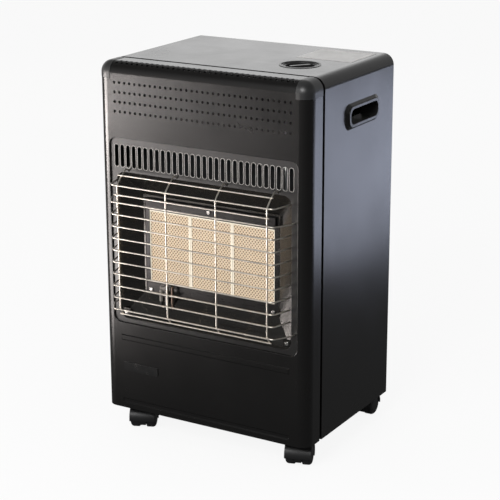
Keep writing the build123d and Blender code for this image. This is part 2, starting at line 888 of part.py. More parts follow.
def make_gas_manifold():
    route = [
        spot(outlet_x, valve_front - port_length, outlet_height),
        spot(outlet_x, tube_depth, outlet_height),
        spot(outlet_x, tube_depth, manifold_height),
        spot(plaque_xs["left"] - mixing_tube_radius, tube_depth, manifold_height),
    ]
    pipe = wire(route, manifold_radius, manifold_bend)
    with BuildPart() as manifold:
        add(pipe)
        for x in plaque_xs.values():
            with BuildSketch(Plane(origin=spot(x, tube_depth, manifold_height - boss_radius))):
                Circle(boss_radius)
            extrude(amount=boss_radius + boss_height)
    return manifold.part


# ---- Pilot group ----

def make_pilot_bracket():
    leg_centre = pilot_shelf_height + pilot_bracket_leg / 2
    with BuildPart() as bracket:
        with Locations(spot(pilot_x, liner_back - pilot_bracket_sheet / 2, leg_centre)):
            Box(pilot_bracket_width, pilot_bracket_sheet, pilot_bracket_leg)
        with Locations(spot(pilot_x, liner_back - pilot_shelf_reach / 2, pilot_shelf_height)):
            Box(
                pilot_bracket_width,
                pilot_shelf_reach,
                pilot_bracket_sheet,
                align=(Align.CENTER, Align.CENTER, Align.MIN),
            )
        for x, radius in pilot_group:
            with Locations(spot(x, pilot_depth, pilot_shelf_height)):
                Cylinder(radius + running_gap, pilot_bracket_leg, mode=Mode.SUBTRACT)
    return bracket.part


def make_pilot_burner():
    hood_height = pilot_radius * 2
    with BuildPart() as pilot:
        with BuildSketch(Plane(origin=spot(pilot_x, pilot_depth, pilot_bottom))):
            Circle(pilot_radius)
        extrude(amount=pilot_top - pilot_bottom)
        fillet(pilot.faces().sort_by(Axis.Z)[-1].edges(), radius=pilot_radius / 3)
        with Locations(spot(pilot_x, pilot_depth, pilot_top - hood_height)):
            Box(pilot_radius * 3, pilot_radius, sheet, mode=Mode.SUBTRACT)
            Box(pilot_radius, pilot_radius * 3, sheet, mode=Mode.SUBTRACT)
        with BuildSketch(Plane(origin=spot(pilot_x, pilot_depth, pilot_shelf_height + pilot_bracket_sheet))):
            RegularPolygon(pilot_radius * 1.4, 6)
        extrude(amount=pilot_radius)
    return pilot.part


def lead(index, start_x, radius):
    """One pipe or lead from the pilot group round to the valve's side."""
    low = lead_top_height - index * lead_drop
    depth = lead_first_depth + index * lead_depth_step
    x = lead_first_x + index * lead_x_step
    end_height = valve_top - lead_drop * (index + 1)
    end_depth = knob_depth + (index - 1) * lead_x_step
    points = [
        spot(start_x, pilot_depth, pilot_bottom),
        spot(start_x, pilot_depth, low),
        spot(start_x, depth, low),
        spot(x, depth, low),
        spot(x, depth, end_height),
        spot(x, end_depth, end_height),
        spot(valve_right, end_depth, end_height),
    ]
    bends = [lead_bend] * (len(points) - 3) + [lead_last_bend]
    return wire(points, radius, bends)


def make_pilot_pipe():
    return lead(0, pilot_x, pilot_pipe_radius)


def make_spark_electrode():
    x = pilot_x - pilot_spacing
    tip = [
        spot(x, pilot_depth, pilot_top - 4 * electrode_radius),
        spot(x, pilot_depth, pilot_top),
        spot(pilot_x - 2 * electrode_radius, pilot_depth, pilot_top),
    ]
    rod = wire(tip, electrode_wire_radius, electrode_radius / 2)
    with BuildPart() as electrode:
        with BuildSketch(Plane(origin=spot(x, pilot_depth, pilot_bottom))):
            Circle(electrode_radius)
        extrude(amount=pilot_top - pilot_bottom - 3 * electrode_radius)
        add(rod)
    return electrode.part


def make_ignition_lead():
    return lead(2, pilot_x - pilot_spacing, lead_radius)


def make_thermocouple():
    x = pilot_x + pilot_spacing
    capillary = lead(1, x, lead_radius)
    with BuildPart() as probe:
        with BuildSketch(Plane(origin=spot(x, pilot_depth, pilot_bottom))):
            Circle(thermocouple_radius)
        extrude(amount=pilot_top - pilot_bottom)
        fillet(probe.faces().sort_by(Axis.Z)[-1].edges(), radius=thermocouple_radius / 2)
        add(capillary)
    return probe.part


# ---- Valve and knob ----

def make_gas_valve():
    with BuildPart() as valve:
        with Locations(spot(valve_x, knob_depth, (valve_top + valve_base) / 2)):
            Box(valve_width, valve_length, valve_height)
        fillet(valve.edges().filter_by(Axis.Z), radius=port_radius / 2)
        with BuildSketch(upright(valve_front, outlet_x, outlet_height)):
            Circle(port_radius)
        extrude(amount=port_length)
        with Locations((knob_x, knob_y, valve_top)):
            Hole(radius=plunger_radius + running_gap, depth=valve_bore_depth)
    return valve.part


def make_valve_bracket():
    """A hat-shaped bracket that hangs the valve under the top."""
    foot_height = cabinet_top - sheet
    leg_height = foot_height - valve_top
    with BuildPart() as bracket:
        with Locations((knob_x, knob_y, valve_top + bracket_sheet / 2)):
            Box(2 * bracket_half, bracket_width, bracket_sheet)
        for side in (-1, 1):
            leg_x = knob_x + side * (bracket_half - bracket_sheet / 2)
            foot_x = knob_x + side * (bracket_half - bracket_sheet + bracket_foot / 2)
            with Locations((leg_x, knob_y, valve_top + leg_height / 2)):
                Box(bracket_sheet, bracket_width, leg_height)
            with Locations((foot_x, knob_y, foot_height - bracket_sheet / 2)):
                Box(bracket_foot, bracket_width, bracket_sheet)
        with Locations((knob_x, knob_y, valve_top + bracket_sheet)):
            Hole(radius=plunger_radius + sheet, depth=2 * bracket_sheet)
    return bracket.part


def make_knob_well():
    """The stepped round bezel, turned about the knob's axis."""
    top = cabinet_top + well_rim_proud
    floor = knob_bottom - knob_travel - well_floor_gap
    inner = well_radius - well_steps * well_step_width
    outer = inner + well_wall
    underside = top - (well_steps + 1) * well_step - well_wall
    points = [(well_radius, cabinet_top), (well_radius, top)]
    for step in range(well_steps):
        height = top - step * well_step
        edge = well_radius - (step + 1) * well_step_width
        points += [(edge, height), (edge, height - well_step)]
    points[-1] = (inner, floor)
    points += [
        (plunger_radius + sheet, floor),
        (plunger_radius + sheet, floor - well_wall),
        (outer, floor - well_wall),
        (outer, underside),
        (well_seat, underside),
        (well_seat, cabinet_top),
    ]
    with BuildPart() as well:
        with BuildSketch(Plane(origin=(knob_x, knob_y, 0), x_dir=(1, 0, 0), z_dir=(0, -1, 0))):
            with BuildLine():
                Polyline(*points, close=True)
            make_face()
        revolve(axis=Axis((knob_x, knob_y, 0), (0, 0, 1)))
    return well.part


def make_control_knob():
    socket_depth = knob_disc + knob_bar_height / 2
    with BuildPart() as knob:
        with BuildSketch(Plane(origin=(knob_x, knob_y, knob_bottom))):
            Circle(knob_radius)
        extrude(amount=knob_disc)
        fillet(knob.faces().sort_by(Axis.Z)[-1].edges(), radius=knob_disc / 4)
        with BuildSketch(Plane(origin=(knob_x, knob_y, knob_disc_top))):
            SlotOverall(2 * knob_radius - knob_disc, knob_bar_width, rotation=knob_bar_angle)
        extrude(amount=knob_bar_height, taper=knob_bar_taper)
        fillet(knob.faces().sort_by(Axis.Z)[-1].edges(), radius=knob_bar_width / 8)
        with BuildSketch(Plane(origin=(knob_x, knob_y, knob_bottom))):
            Circle(knob_skirt_radius)
        extrude(amount=-knob_skirt_radius)
        with BuildSketch(Plane(origin=(knob_x, knob_y, knob_bottom - knob_skirt_radius))):
            spindle_section(running_gap)
        extrude(amount=knob_skirt_radius + socket_depth, mode=Mode.SUBTRACT)
    return knob.part


def spindle_section(grow):
    """The spindle's D section, with a clearance for the hole that takes it."""
    Circle(spindle_radius + grow)
    with Locations((spindle_radius + spindle_radius / 2 - spindle_flat + grow, 0)):
        Rectangle(spindle_radius, 4 * spindle_radius, mode=Mode.SUBTRACT)


def make_valve_spindle():
    top = knob_bottom + knob_disc + knob_bar_height / 2 - sheet
    collar_bottom = plunger_top + fit_gap
    clip_top = plunger_top - plunger_height - fit_gap
    with BuildPart() as spindle:
        with BuildSketch(Plane(origin=(knob_x, knob_y, collar_bottom))):
            spindle_section(0.0)
        extrude(amount=top - collar_bottom)
        with BuildSketch(Plane(origin=(knob_x, knob_y, clip_top - spindle_clip))):
            Circle(spindle_radius)
        extrude(amount=collar_bottom - clip_top + spindle_clip)
        with BuildSketch(Plane(origin=(knob_x, knob_y, collar_bottom))):
            Circle(spindle_radius + sheet)
        extrude(amount=plunger_drop)
        with BuildSketch(Plane(origin=(knob_x, knob_y, clip_top))):
            Circle(spindle_radius + sheet)
        extrude(amount=-spindle_clip)
    return spindle.part


def make_valve_plunger():
    with BuildPart() as plunger:
        with BuildSketch(Plane(origin=(knob_x, knob_y, plunger_top))):
            Circle(plunger_radius)
            Circle(spindle_radius + running_gap, mode=Mode.SUBTRACT)
        extrude(amount=-plunger_height)
    return plunger.part


def make_hose_nozzle():
    with BuildPart() as nozzle:
        with BuildSketch(backward(valve_back, knob_x, nozzle_height)):
            RegularPolygon(nozzle_nut_radius, 6)
        extrude(amount=nozzle_nut_length)
        with BuildSketch(backward(valve_back + nozzle_nut_length, knob_x, nozzle_height)):
            Circle(nozzle_radius)
        extrude(amount=nozzle_length)
        tip = nozzle.faces().sort_by(Axis.Y)[-1]
        chamfer(tip.edges(), length=nozzle_radius / 5)
        with BuildSketch(backward(valve_back, knob_x, nozzle_height)):
            Circle(nozzle_radius / 2)
        extrude(amount=nozzle_nut_length + nozzle_length, mode=Mode.SUBTRACT)
    return nozzle.part


# ---- Tray, shield and back ----

def make_base_tray():
    half = half_width - lining_inset
    front = front_y + lining_inset
    back = front_y + cabinet_depth - sheet
    with BuildPart() as tray:
        with BuildSketch(Plane(origin=(0, 0, cabinet_bottom + sheet))):
            with BuildLine():
                corners = [(-half, back), (-half, front), (half, front), (half, back)]
                FilletPolyline(*corners, radius=bend_radius - lining_inset)
                Line((half, back), (-half, back))
            make_face()
            with Locations(*[(x, front_y + depth) for x, depth in castor_spots.values()]):
                Circle(socket_radius + running_gap, mode=Mode.SUBTRACT)
            # Notches for the flanges on both sides of the groove.
            with Locations(*[(side * half_width, front_y + groove_centre) for side in (-1, 1)]):
                Rectangle(2 * frame_inset, groove_width + 2 * lining_inset, mode=Mode.SUBTRACT)
        extrude(amount=tray_sheet)
        with Locations((0, back - tray_sheet / 2, tray_top + tray_upstand / 2)):
            Box(2 * (half_width - rear_hem), tray_sheet, tray_upstand)
    return tray.part


def make_heat_shield():
    """The plate that parts the burner from the bottle bay."""
    slot_left = outlet_x - manifold_radius - shield_slot_margin
    slot_right = lead_first_x + 2 * lead_x_step + shield_slot_margin
    slot_low = outlet_height - manifold_radius - shield_slot_margin
    with BuildPart() as shield:
        with BuildSketch(upright(shield_depth)):
            cabinet_outline(lining_inset, tray_top)
            with Locations(((slot_left + slot_right) / 2, (slot_low + valve_top) / 2)):
                Rectangle(slot_right - slot_left, valve_top - slot_low, mode=Mode.SUBTRACT)
        extrude(amount=-sheet)
    return shield.part


def make_rear_top_brace():
    depth = cabinet_depth - sheet - brace_sheet
    bottom = cabinet_top - brace_height
    with BuildPart() as brace:
        with BuildSketch(upright(depth)):
            cabinet_outline(lining_inset, bottom)
        extrude(amount=-brace_sheet)
        with Locations(spot(0, depth - brace_return / 2, bottom + brace_sheet / 2)):
            Box(2 * (half_width - rear_hem), brace_return, brace_sheet)
    return brace.part


def cover_form(inset):
    """The rear cover's bulge as a solid form, brought in by an inset."""
    with BuildPart() as form:
        with BuildSketch(backward(cover_front, 0, cover_centre)):
            RectangleRounded(
                cover_width - 2 * cover_side_margin - 2 * inset,
                cover_height - 2 * cover_end_margin - 2 * inset,
                cover_corner - inset,
            )
        extrude(amount=cover_bulge - fit_gap - inset)
        fillet(form.faces().sort_by(Axis.Y)[-1].edges(), radius=cover_edge_round - inset)
    return form.part


def make_rear_cover():
    outer = cover_form(0.0)
    inner = cover_form(sheet)
    with BuildPart() as cover:
        add(outer)
        with BuildSketch(backward(cover_front, 0, cover_centre)):
            RectangleRounded(cover_width, cover_height, cover_flange_corner)
        extrude(amount=sheet)
        add(inner, mode=Mode.SUBTRACT)
        for height in louvre_heights:
            with BuildSketch(backward(cabinet_depth + cover_bulge + sheet, 0, height)):
                with GridLocations(1, louvre_pitch, 1, louvre_count):
                    SlotOverall(louvre_length, louvre_width)
            extrude(amount=-4 * sheet, mode=Mode.SUBTRACT)
        for side in (-1, 1):
            for height in stud_heights:
                with BuildSketch(backward(cabinet_depth, side * stud_x, height)):
                    Circle(stud_radius + running_gap)
                extrude(amount=4 * sheet, mode=Mode.SUBTRACT)
    return cover.part


def make_cover_studs():
    with BuildPart() as studs:
        for side in (-1, 1):
            for height in stud_heights:
                with BuildSketch(backward(cover_front + sheet, side * stud_x, height)):
                    Circle(stud_head_radius)
                extrude(amount=stud_head_height)
                with BuildSketch(backward(cover_front + sheet, side * stud_x, height)):
                    Circle(stud_radius)
                extrude(amount=-stud_length)
        heads = studs.faces().sort_by(Axis.Y)[-4:]
        fillet(heads.edges(), radius=stud_head_height / 4)
    return studs.part


# ---- Handles and plates ----

def make_handle_grip(side):
    tube_length = handle_length - 2 * grip_gap
    tube_height = handle_opening - 2 * grip_gap
    tube_corner = handle_corner - grip_gap
    with BuildPart() as grip:
        with BuildSketch(sideways(side, handle_face, handle_depth, handle_height)):
            RectangleRounded(handle_land_length - grip_gap, handle_land_height - grip_gap, handle_corner)
        extrude(amount=grip_flange)
        rim = grip.faces().sort_by(Axis.X)[0 if side < 0 else -1]
        fillet(rim.edges(), radius=grip_flange / 2)
        with BuildSketch(sideways(side, handle_face, handle_depth, handle_height)):
            RectangleRounded(tube_length, tube_height, tube_corner)
        extrude(amount=-grip_depth)
        with BuildSketch(sideways(side, handle_face + grip_flange, handle_depth, handle_height)):
            RectangleRounded(
                tube_length - 2 * grip_wall, tube_height - 2 * grip_wall, tube_corner - grip_wall
            )
        extrude(amount=-(grip_flange + grip_depth), mode=Mode.SUBTRACT)
    return grip.part


def make_badge_plate():
    centre_x = badge_left + badge_width / 2
    with BuildPart() as plate:
        with BuildSketch(upright(0, centre_x, badge_bottom + badge_height / 2)):
            RectangleRounded(badge_width, badge_height, badge_corner)
        extrude(amount=badge_thickness)
        fillet(plate.faces().sort_by(Axis.Y)[0].edges(), radius=badge_thickness / 3)
    return plate.part


def make_foil_plate():
    centre = spot(foil_left + foil_width / 2, foil_depth + foil_length / 2, cabinet_top + foil_thickness / 2)
    with BuildPart() as plate:
        with Locations(centre):
            Box(foil_width, foil_length, foil_thickness)
    return plate.part


# ---- Castors ----

def castor_base(name):
    """The floor point under a castor's stem, turned the way the castor points."""
    x, depth = castor_spots[name]
    heading = radians(castor_headings[name])
    return Plane(origin=spot(x, depth, 0), x_dir=(cos(heading), sin(heading), 0), z_dir=(0, 0, 1))


def castor_side(name, x):
    """A plane across a castor's axle, at a distance from its middle."""
    base = castor_base(name)
    origin = base.from_local_coords((x, castor_trail, wheel_radius))
    return Plane(origin=origin, x_dir=base.y_dir, z_dir=base.x_dir)


def make_castor_hood(name):
    reach = 2 * hood_radius
    mouth = [(0, 0)]
    for angle in (hood_front_angle, hood_rear_angle):
        mouth.append((reach * cos(radians(angle)), reach * sin(radians(angle))))
    mouth[2:2] = [(-reach, -reach), (reach, -reach)]
    with BuildPart() as hood:
        with BuildSketch(castor_side(name, -hood_half_width)):
            Circle(hood_radius)
        extrude(amount=2 * hood_half_width)
        fillet(hood.edges().filter_by(GeomType.CIRCLE), radius=hood_wall / 2)
        with BuildSketch(castor_base(name).offset(stem_bottom - hood_wall)):
            Circle(hood_boss_radius)
        extrude(amount=hood_top - stem_bottom + hood_wall)
        with BuildSketch(castor_side(name, -reach)):
            with BuildLine():
                Polyline(*mouth, close=True)
            make_face()
        extrude(amount=2 * reach, mode=Mode.SUBTRACT)
        for side in (-1, 1):
            with BuildSketch(castor_side(name, side * hood_web_half)):
                Circle(hood_radius - hood_wall)
            extrude(amount=side * reach, mode=Mode.SUBTRACT)
        with BuildSketch(castor_side(name, -hood_web_half)):
            Circle(hood_radius - hood_wall / 2)
            with Locations((0, hood_web_clearance - wheel_radius - reach)):
                Rectangle(2 * reach, 2 * reach, mode=Mode.SUBTRACT)
        extrude(amount=2 * hood_web_half)
        with BuildSketch(castor_side(name, -reach)):
            Circle(axle_radius + running_gap)
        extrude(amount=2 * reach, mode=Mode.SUBTRACT)
        with BuildSketch(castor_base(name).offset(stem_bottom)):
            Circle(stem_radius + running_gap)
        extrude(amount=reach, mode=Mode.SUBTRACT)
    return hood.part


def make_castor_pins(name):
    with BuildPart() as pins:
        with BuildSketch(castor_base(name).offset(stem_bottom)):
            Circle(stem_radius)
        extrude(amount=stem_top - stem_bottom)
        chamfer(pins.faces().sort_by(Axis.Z)[-1].edges(), length=stem_radius / 4)
        with BuildSketch(castor_side(name, -axle_half)):
            Circle(axle_radius)
        extrude(amount=2 * axle_half)
    return pins.part


def make_castor_wheel(name, side):
    inner = castor_side(name, side * wheel_inner_x)
    outer = castor_side(name, side * (wheel_inner_x + wheel_width))
    outward = Axis(inner.origin, inner.z_dir * side)
    with BuildPart() as wheel:
        with BuildSketch(inner):
            Circle(wheel_radius)
        extrude(amount=side * wheel_width)
        fillet(wheel.faces().sort_by(outward)[-1].edges(), radius=wheel_round)
        fillet(wheel.faces().sort_by(outward)[0].edges(), radius=wheel_round / 4)
        with BuildSketch(outer):
            Circle(hub_radius)
            Circle(hub_radius - hub_groove, mode=Mode.SUBTRACT)
        extrude(amount=-side * hub_groove, mode=Mode.SUBTRACT)
        with BuildSketch(inner):
            Circle(axle_radius + running_gap)
        extrude(amount=side * (axle_half - wheel_inner_x + fit_gap), mode=Mode.SUBTRACT)
    return wheel.part


def make_castor_sockets():
    with BuildPart() as sockets:
        for x, depth in castor_spots.values():
            with BuildSketch(Plane(origin=spot(x, depth, socket_bottom))):
                Circle(socket_flange_radius)
            extrude(amount=socket_flange)
            with BuildSketch(Plane(origin=spot(x, depth, socket_bottom))):
                Circle(socket_radius)
            extrude(amount=stem_top + fit_gap + socket_roof - socket_bottom)
            with BuildSketch(Plane(origin=spot(x, depth, socket_bottom))):
                Circle(stem_radius + running_gap)
            extrude(amount=stem_top + fit_gap - socket_bottom, mode=Mode.SUBTRACT)
    return sockets.part


# ---- Writing the pieces ----

save(make_cabinet_wrap(), "cabinet_wrap")
save(make_front_fascia(), "front_fascia")
save(make_front_frame(), "front_frame")
save(make_burner_surround(), "burner_surround")
save(make_firebox_liner(), "firebox_liner")
save(make_wire_guard(), "wire_guard")
save(make_burner_frame(), "burner_frame")
save(make_burner_screws(), "burner_screws")
save(make_gas_jets(), "gas_jets")
save(make_gas_manifold(), "gas_manifold")
save(make_pilot_bracket(), "pilot_bracket")
save(make_pilot_burner(), "pilot_burner")
save(make_pilot_pipe(), "pilot_pipe")
save(make_spark_electrode(), "spark_electrode")
save(make_ignition_lead(), "ignition_lead")
save(make_thermocouple(), "thermocouple")
save(make_gas_valve(), "gas_valve")
save(make_valve_bracket(), "valve_bracket")
save(make_valve_plunger(), "valve_plunger")
save(make_valve_spindle(), "valve_spindle")
save(make_control_knob(), "control_knob")
save(make_knob_well(), "knob_well")
save(make_hose_nozzle(), "hose_nozzle")
save(make_base_tray(), "base_tray")
save(make_heat_shield(), "heat_shield")
save(make_rear_top_brace(), "rear_top_brace")
save(make_rear_cover(), "rear_cover")
save(make_cover_studs(), "cover_studs")
save(make_badge_plate(), "badge_plate")
save(make_foil_plate(), "foil_plate")
save(make_castor_sockets(), "castor_sockets")

for place, x in plaque_xs.items():
    save(make_plaque(x), f"plaque_{place}")
    save(make_burner_box(x), f"burner_box_{place}")

for place, side in sides.items():
    save(make_corner_cap(side), f"corner_cap_{place}")
    save(make_handle_grip(side), f"handle_grip_{place}")

for castor in castor_spots:
    save(make_castor_hood(castor), f"castor_{castor}_hood")
    save(make_castor_pins(castor), f"castor_{castor}_pins")
    for place, side in sides.items():
        save(make_castor_wheel(castor, side), f"castor_{castor}_wheel_{place}")
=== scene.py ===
"""Dresses a portable gas cabinet heater in its finishes and sets it on a pale studio floor."""

import json
from math import cos, pi, radians, sin

import bmesh
import bpy
from bpy.props import FloatProperty, FloatVectorProperty, IntProperty, PointerProperty
from mathutils import Matrix, Vector


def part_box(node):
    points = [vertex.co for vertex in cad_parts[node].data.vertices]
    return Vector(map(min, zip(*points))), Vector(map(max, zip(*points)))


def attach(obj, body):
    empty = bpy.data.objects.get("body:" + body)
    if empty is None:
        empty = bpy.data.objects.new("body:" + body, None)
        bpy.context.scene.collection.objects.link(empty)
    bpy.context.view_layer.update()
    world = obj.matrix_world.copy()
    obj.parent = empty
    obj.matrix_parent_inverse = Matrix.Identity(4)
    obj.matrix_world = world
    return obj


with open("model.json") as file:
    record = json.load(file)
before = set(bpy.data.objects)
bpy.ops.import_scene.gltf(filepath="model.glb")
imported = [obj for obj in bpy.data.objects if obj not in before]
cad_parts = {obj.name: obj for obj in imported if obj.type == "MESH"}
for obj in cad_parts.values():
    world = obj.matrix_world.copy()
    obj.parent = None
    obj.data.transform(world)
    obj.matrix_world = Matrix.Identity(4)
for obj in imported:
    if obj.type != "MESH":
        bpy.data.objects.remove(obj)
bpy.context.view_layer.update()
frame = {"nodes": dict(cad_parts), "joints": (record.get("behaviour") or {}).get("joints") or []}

bl_info = {
    "name": "Cabinet Heater Dressing",
    "version": (1, 0, 0),
    "blender": (4, 5, 0),
    "location": "3D View > Sidebar > Heater",
    "description": "Finishes and fine detail for a portable gas cabinet heater",
    "category": "Object",
}

NODES = frame["nodes"]
CASTORS = ("front_left", "front_right", "rear_left", "rear_right")
SIDES = ("left", "right")
PLAQUES = ("left", "centre", "right")

# Colours that more than one material or lamp uses.
DUST_COLOUR = (0.30, 0.29, 0.27)
WHITE = (1.0, 1.0, 1.0)
WARM_LIGHT = (1.0, 0.93, 0.90)
COOL_LIGHT = (0.74, 0.80, 1.0)


# ---- Sizes and colours that a user would change ----

class EnamelSettings(bpy.types.PropertyGroup):
    """The cabinet's stoved black enamel."""

    colour: FloatVectorProperty(
        name="Enamel Colour", description="Colour of the black enamel", subtype="COLOR",
        size=3, min=0.0, max=1.0, default=(0.0050, 0.0048, 0.0047),
    )
    roughness: FloatProperty(
        name="Roughness", description="How blurred the enamel's reflections are",
        subtype="FACTOR", min=0.0, max=1.0, default=0.25,
    )
    peel_size: FloatProperty(
        name="Peel Size", description="Width of one bump of the orange peel",
        unit="LENGTH", default=0.0016,
    )
    peel_depth: FloatProperty(
        name="Peel Depth", description="Height of the orange peel",
        unit="LENGTH", default=0.00002,
    )
    edge_radius: FloatProperty(
        name="Edge Radius", description="Rounding that the paint gives the sheet's cut edges",
        unit="LENGTH", default=0.0006,
    )
    slot_count: IntProperty(name="Slot Count", description="Upright slots above the burner", default=30)
    slot_pitch: FloatProperty(
        name="Slot Pitch", description="Distance between two slots", unit="LENGTH", default=0.0121,
    )
    slot_width: FloatProperty(
        name="Slot Width", description="Width of one slot", unit="LENGTH", default=0.0082,
    )
    slot_length: FloatProperty(
        name="Slot Length", description="Height of one slot", unit="LENGTH", default=0.0402,
    )
    slot_drop: FloatProperty(
        name="Slot Drop", description="From the surround's top edge to the slots",
        unit="LENGTH", default=0.0185,
    )
    lip_radius: FloatProperty(
        name="Lip Radius", description="Radius of the bead round a slot", unit="LENGTH", default=0.00055,
    )


class BurnerSettings(bpy.types.PropertyGroup):
    """The ceramic plaques and the reflector round them."""

    ceramic: FloatVectorProperty(
        name="Ceramic Colour", description="Colour of the plaques' plain borders",
        subtype="COLOR", size=3, min=0.0, max=1.0, default=(0.93, 0.86, 0.72),
    )
    field: FloatVectorProperty(
        name="Field Colour", description="Colour of the perforated field",
        subtype="COLOR", size=3, min=0.0, max=1.0, default=(0.80, 0.67, 0.50),
    )
    # Painted shade: the dark brown that stands for the shade in the dimples and pinholes.
    dimple_shade: FloatVectorProperty(
        name="Painted Dimple Shade", description="Colour inside the dimples",
        subtype="COLOR", size=3, min=0.0, max=1.0, default=(0.16, 0.075, 0.03),
    )
    dimple_pitch: FloatProperty(
        name="Dimple Pitch", description="Distance between dimples across a plaque",
        unit="LENGTH", default=0.0060,
    )
    dimple_rise: FloatProperty(
        name="Dimple Rise", description="Distance between two rows of dimples of the same stagger",
        unit="LENGTH", default=0.0071,
    )
    dimple_radius: FloatProperty(
        name="Dimple Radius", description="Radius of one dimple", unit="LENGTH", default=0.00135,
    )
    border: FloatProperty(
        name="Border", description="Width of the plain border round a field",
        unit="LENGTH", default=0.003,
    )
    reflector: FloatVectorProperty(
        name="Reflector Colour", description="Colour of the dark polished reflector",
        subtype="COLOR", size=3, min=0.0, max=1.0, default=(0.055, 0.053, 0.050),
    )


class GuardSettings(bpy.types.PropertyGroup):
    """The plated wire guard and its spot welds."""

    colour: FloatVectorProperty(
        name="Plating Colour", description="Colour of the guard's plating",
        subtype="COLOR", size=3, min=0.0, max=1.0, default=(0.80, 0.75, 0.68),
    )
    weld_radius: FloatProperty(
        name="Weld Radius", description="Radius of one bead of weld", unit="LENGTH", default=0.0012,
    )
    column_pitch: FloatProperty(
        name="Column Pitch", description="Distance between the upright wires",
        unit="LENGTH", default=0.1,
    )
    columns: IntProperty(name="Columns", description="Number of upright wires", default=4)
    rows: IntProperty(name="Rows", description="Number of even rows of wire", default=10)
    row_pitch: FloatProperty(
        name="Row Pitch", description="Distance between the even rows", unit="LENGTH", default=0.02183,
    )
    bottom_row: FloatProperty(
        name="Bottom Row", description="Height of the lowest row", unit="LENGTH", default=0.2545,
    )
    bend_row: FloatProperty(
        name="Bend Row", description="Height of the row below the guard's upper bend",
        unit="LENGTH", default=0.465,
    )
    second_row: FloatProperty(
        name="Second Row", description="Height of the row at the guard's upper bend",
        unit="LENGTH", default=0.4815,
    )
    top_row: FloatProperty(
        name="Top Row", description="Height of the row on the guard's slope", unit="LENGTH", default=0.4967,
    )
    wire_radius: FloatProperty(
        name="Wire Radius", description="Radius of the guard's wire", unit="LENGTH", default=0.00135,
    )


class FittingSettings(bpy.types.PropertyGroup):
    """Small fittings: the nozzle's barbs, the studs' knurls and the wheels' hub caps."""

    barbs: IntProperty(name="Barbs", description="Number of rings on the hose nozzle", default=4)
    barb_height: FloatProperty(
        name="Barb Height", description="How far a ring stands out of the nozzle",
        unit="LENGTH", default=0.0007,
    )
    knurls: IntProperty(name="Knurls", description="Number of ribs round a stud's head", default=20)
    knurl_height: FloatProperty(
        name="Knurl Height", description="How far a rib stands out of a stud's head",
        unit="LENGTH", default=0.0006,
    )
    hub_cap: FloatProperty(
        name="Hub Cap", description="Radius of the domed cap in a wheel's hub",
        unit="LENGTH", default=0.0065,
    )


class StageSettings(bpy.types.PropertyGroup):
    """The floor, the lights and the camera."""

    floor_colour: FloatVectorProperty(
        name="Floor Colour", description="Colour of the pale floor",
        subtype="COLOR", size=3, min=0.0, max=1.0, default=(0.80, 0.80, 0.80),
    )
    floor_bounce: FloatVectorProperty(
        name="Floor Bounce", description="Colour of the light that the floor throws back",
        subtype="COLOR", size=3, min=0.0, max=1.0, default=(0.08, 0.08, 0.08),
    )
    fill_level: FloatProperty(
        name="Fill Level", description="Brightness of the even light round the object", default=0.55,
    )
    camera_place: FloatVectorProperty(
        name="Camera Place", description="Where the camera stands",
        subtype="TRANSLATION", unit="LENGTH", size=3, default=(1.4133, -2.3805, 1.1845),
    )
    camera_yaw: FloatProperty(
        name="Camera Yaw", description="How far the camera is turned to the left",
        subtype="ANGLE", default=radians(30.639),
    )
    camera_pitch: FloatProperty(
        name="Camera Pitch", description="How far the camera looks down",
        subtype="ANGLE", default=radians(17.041),
    )
    camera_roll: FloatProperty(
        name="Camera Roll", description="How far the camera is tilted",
        subtype="ANGLE", default=radians(-0.183),
    )
    focal_length: FloatProperty(
        name="Focal Length", description="The lens, in millimetres", default=114.9,
    )


# ---- Node tools ----

def add_node(tree, kind, place=(0, 0), **values):
    """One node, with its properties set."""
    node = tree.nodes.new(kind)
    node.location = place
    for name, value in values.items():
        setattr(node, name, value)
    return node


def feed(tree, target, source):
    """Sets a socket to a value, or links it to another socket."""
    if isinstance(source, bpy.types.NodeSocket):
        tree.links.new(source, target)
    else:
        target.default_value = source


def calculate(tree, operation, *sources, clamp=False):
    """A math node's result."""
    node = add_node(tree, "ShaderNodeMath", operation=operation, use_clamp=clamp)
    for socket, source in zip(node.inputs, sources):
        feed(tree, socket, source)
    return node.outputs[0]


def blend_colours(tree, factor, first, second, mode="MIX"):
    """A colour mixed from two others."""
    node = add_node(tree, "ShaderNodeMix", data_type="RGBA", blend_type=mode)
    feed(tree, node.inputs[0], factor)
    for socket, source in ((node.inputs[6], first), (node.inputs[7], second)):
        feed(tree, socket, source if isinstance(source, bpy.types.NodeSocket) else (*source, 1.0))
    return node.outputs[2]


def remap(tree, value, low, high, new_low, new_high):
    """A value moved from one range to another, and clamped to it."""
    node = add_node(tree, "ShaderNodeMapRange")
    for socket, source in zip(node.inputs, (value, low, high, new_low, new_high)):
        feed(tree, socket, source)
    return node.outputs[0]


def noise(tree, vector, scale, detail=2.0, roughness=0.5):
    """A noise texture's value."""
    node = add_node(tree, "ShaderNodeTexNoise")
    feed(tree, node.inputs["Vector"], vector)
    feed(tree, node.inputs["Scale"], scale)
    feed(tree, node.inputs["Detail"], detail)
    feed(tree, node.inputs["Roughness"], roughness)
    return node.outputs[0]


def object_place(tree):
    """Object coordinates, which are the model's own metres."""
    return add_node(tree, "ShaderNodeTexCoord").outputs["Object"]


def split_vector(tree, vector):
    """A vector's X, Y and Z."""
    node = add_node(tree, "ShaderNodeSeparateXYZ")
    feed(tree, node.inputs[0], vector)
    return node.outputs


def new_group(name, inputs, outputs):
    """A shader node group with named number sockets. Returns it with its two ends."""
    group = bpy.data.node_groups.new(name, "ShaderNodeTree")
    for label, value in inputs.items():
        socket = group.interface.new_socket(label, in_out="INPUT", socket_type="NodeSocketFloat")
        socket.default_value = value
    for label in outputs:
        group.interface.new_socket(label, in_out="OUTPUT", socket_type="NodeSocketFloat")
    start = add_node(group, "NodeGroupInput", (-900, 0))
    end = add_node(group, "NodeGroupOutput", (700, 0))
    return group, start, end


# ---- Shared effects ----

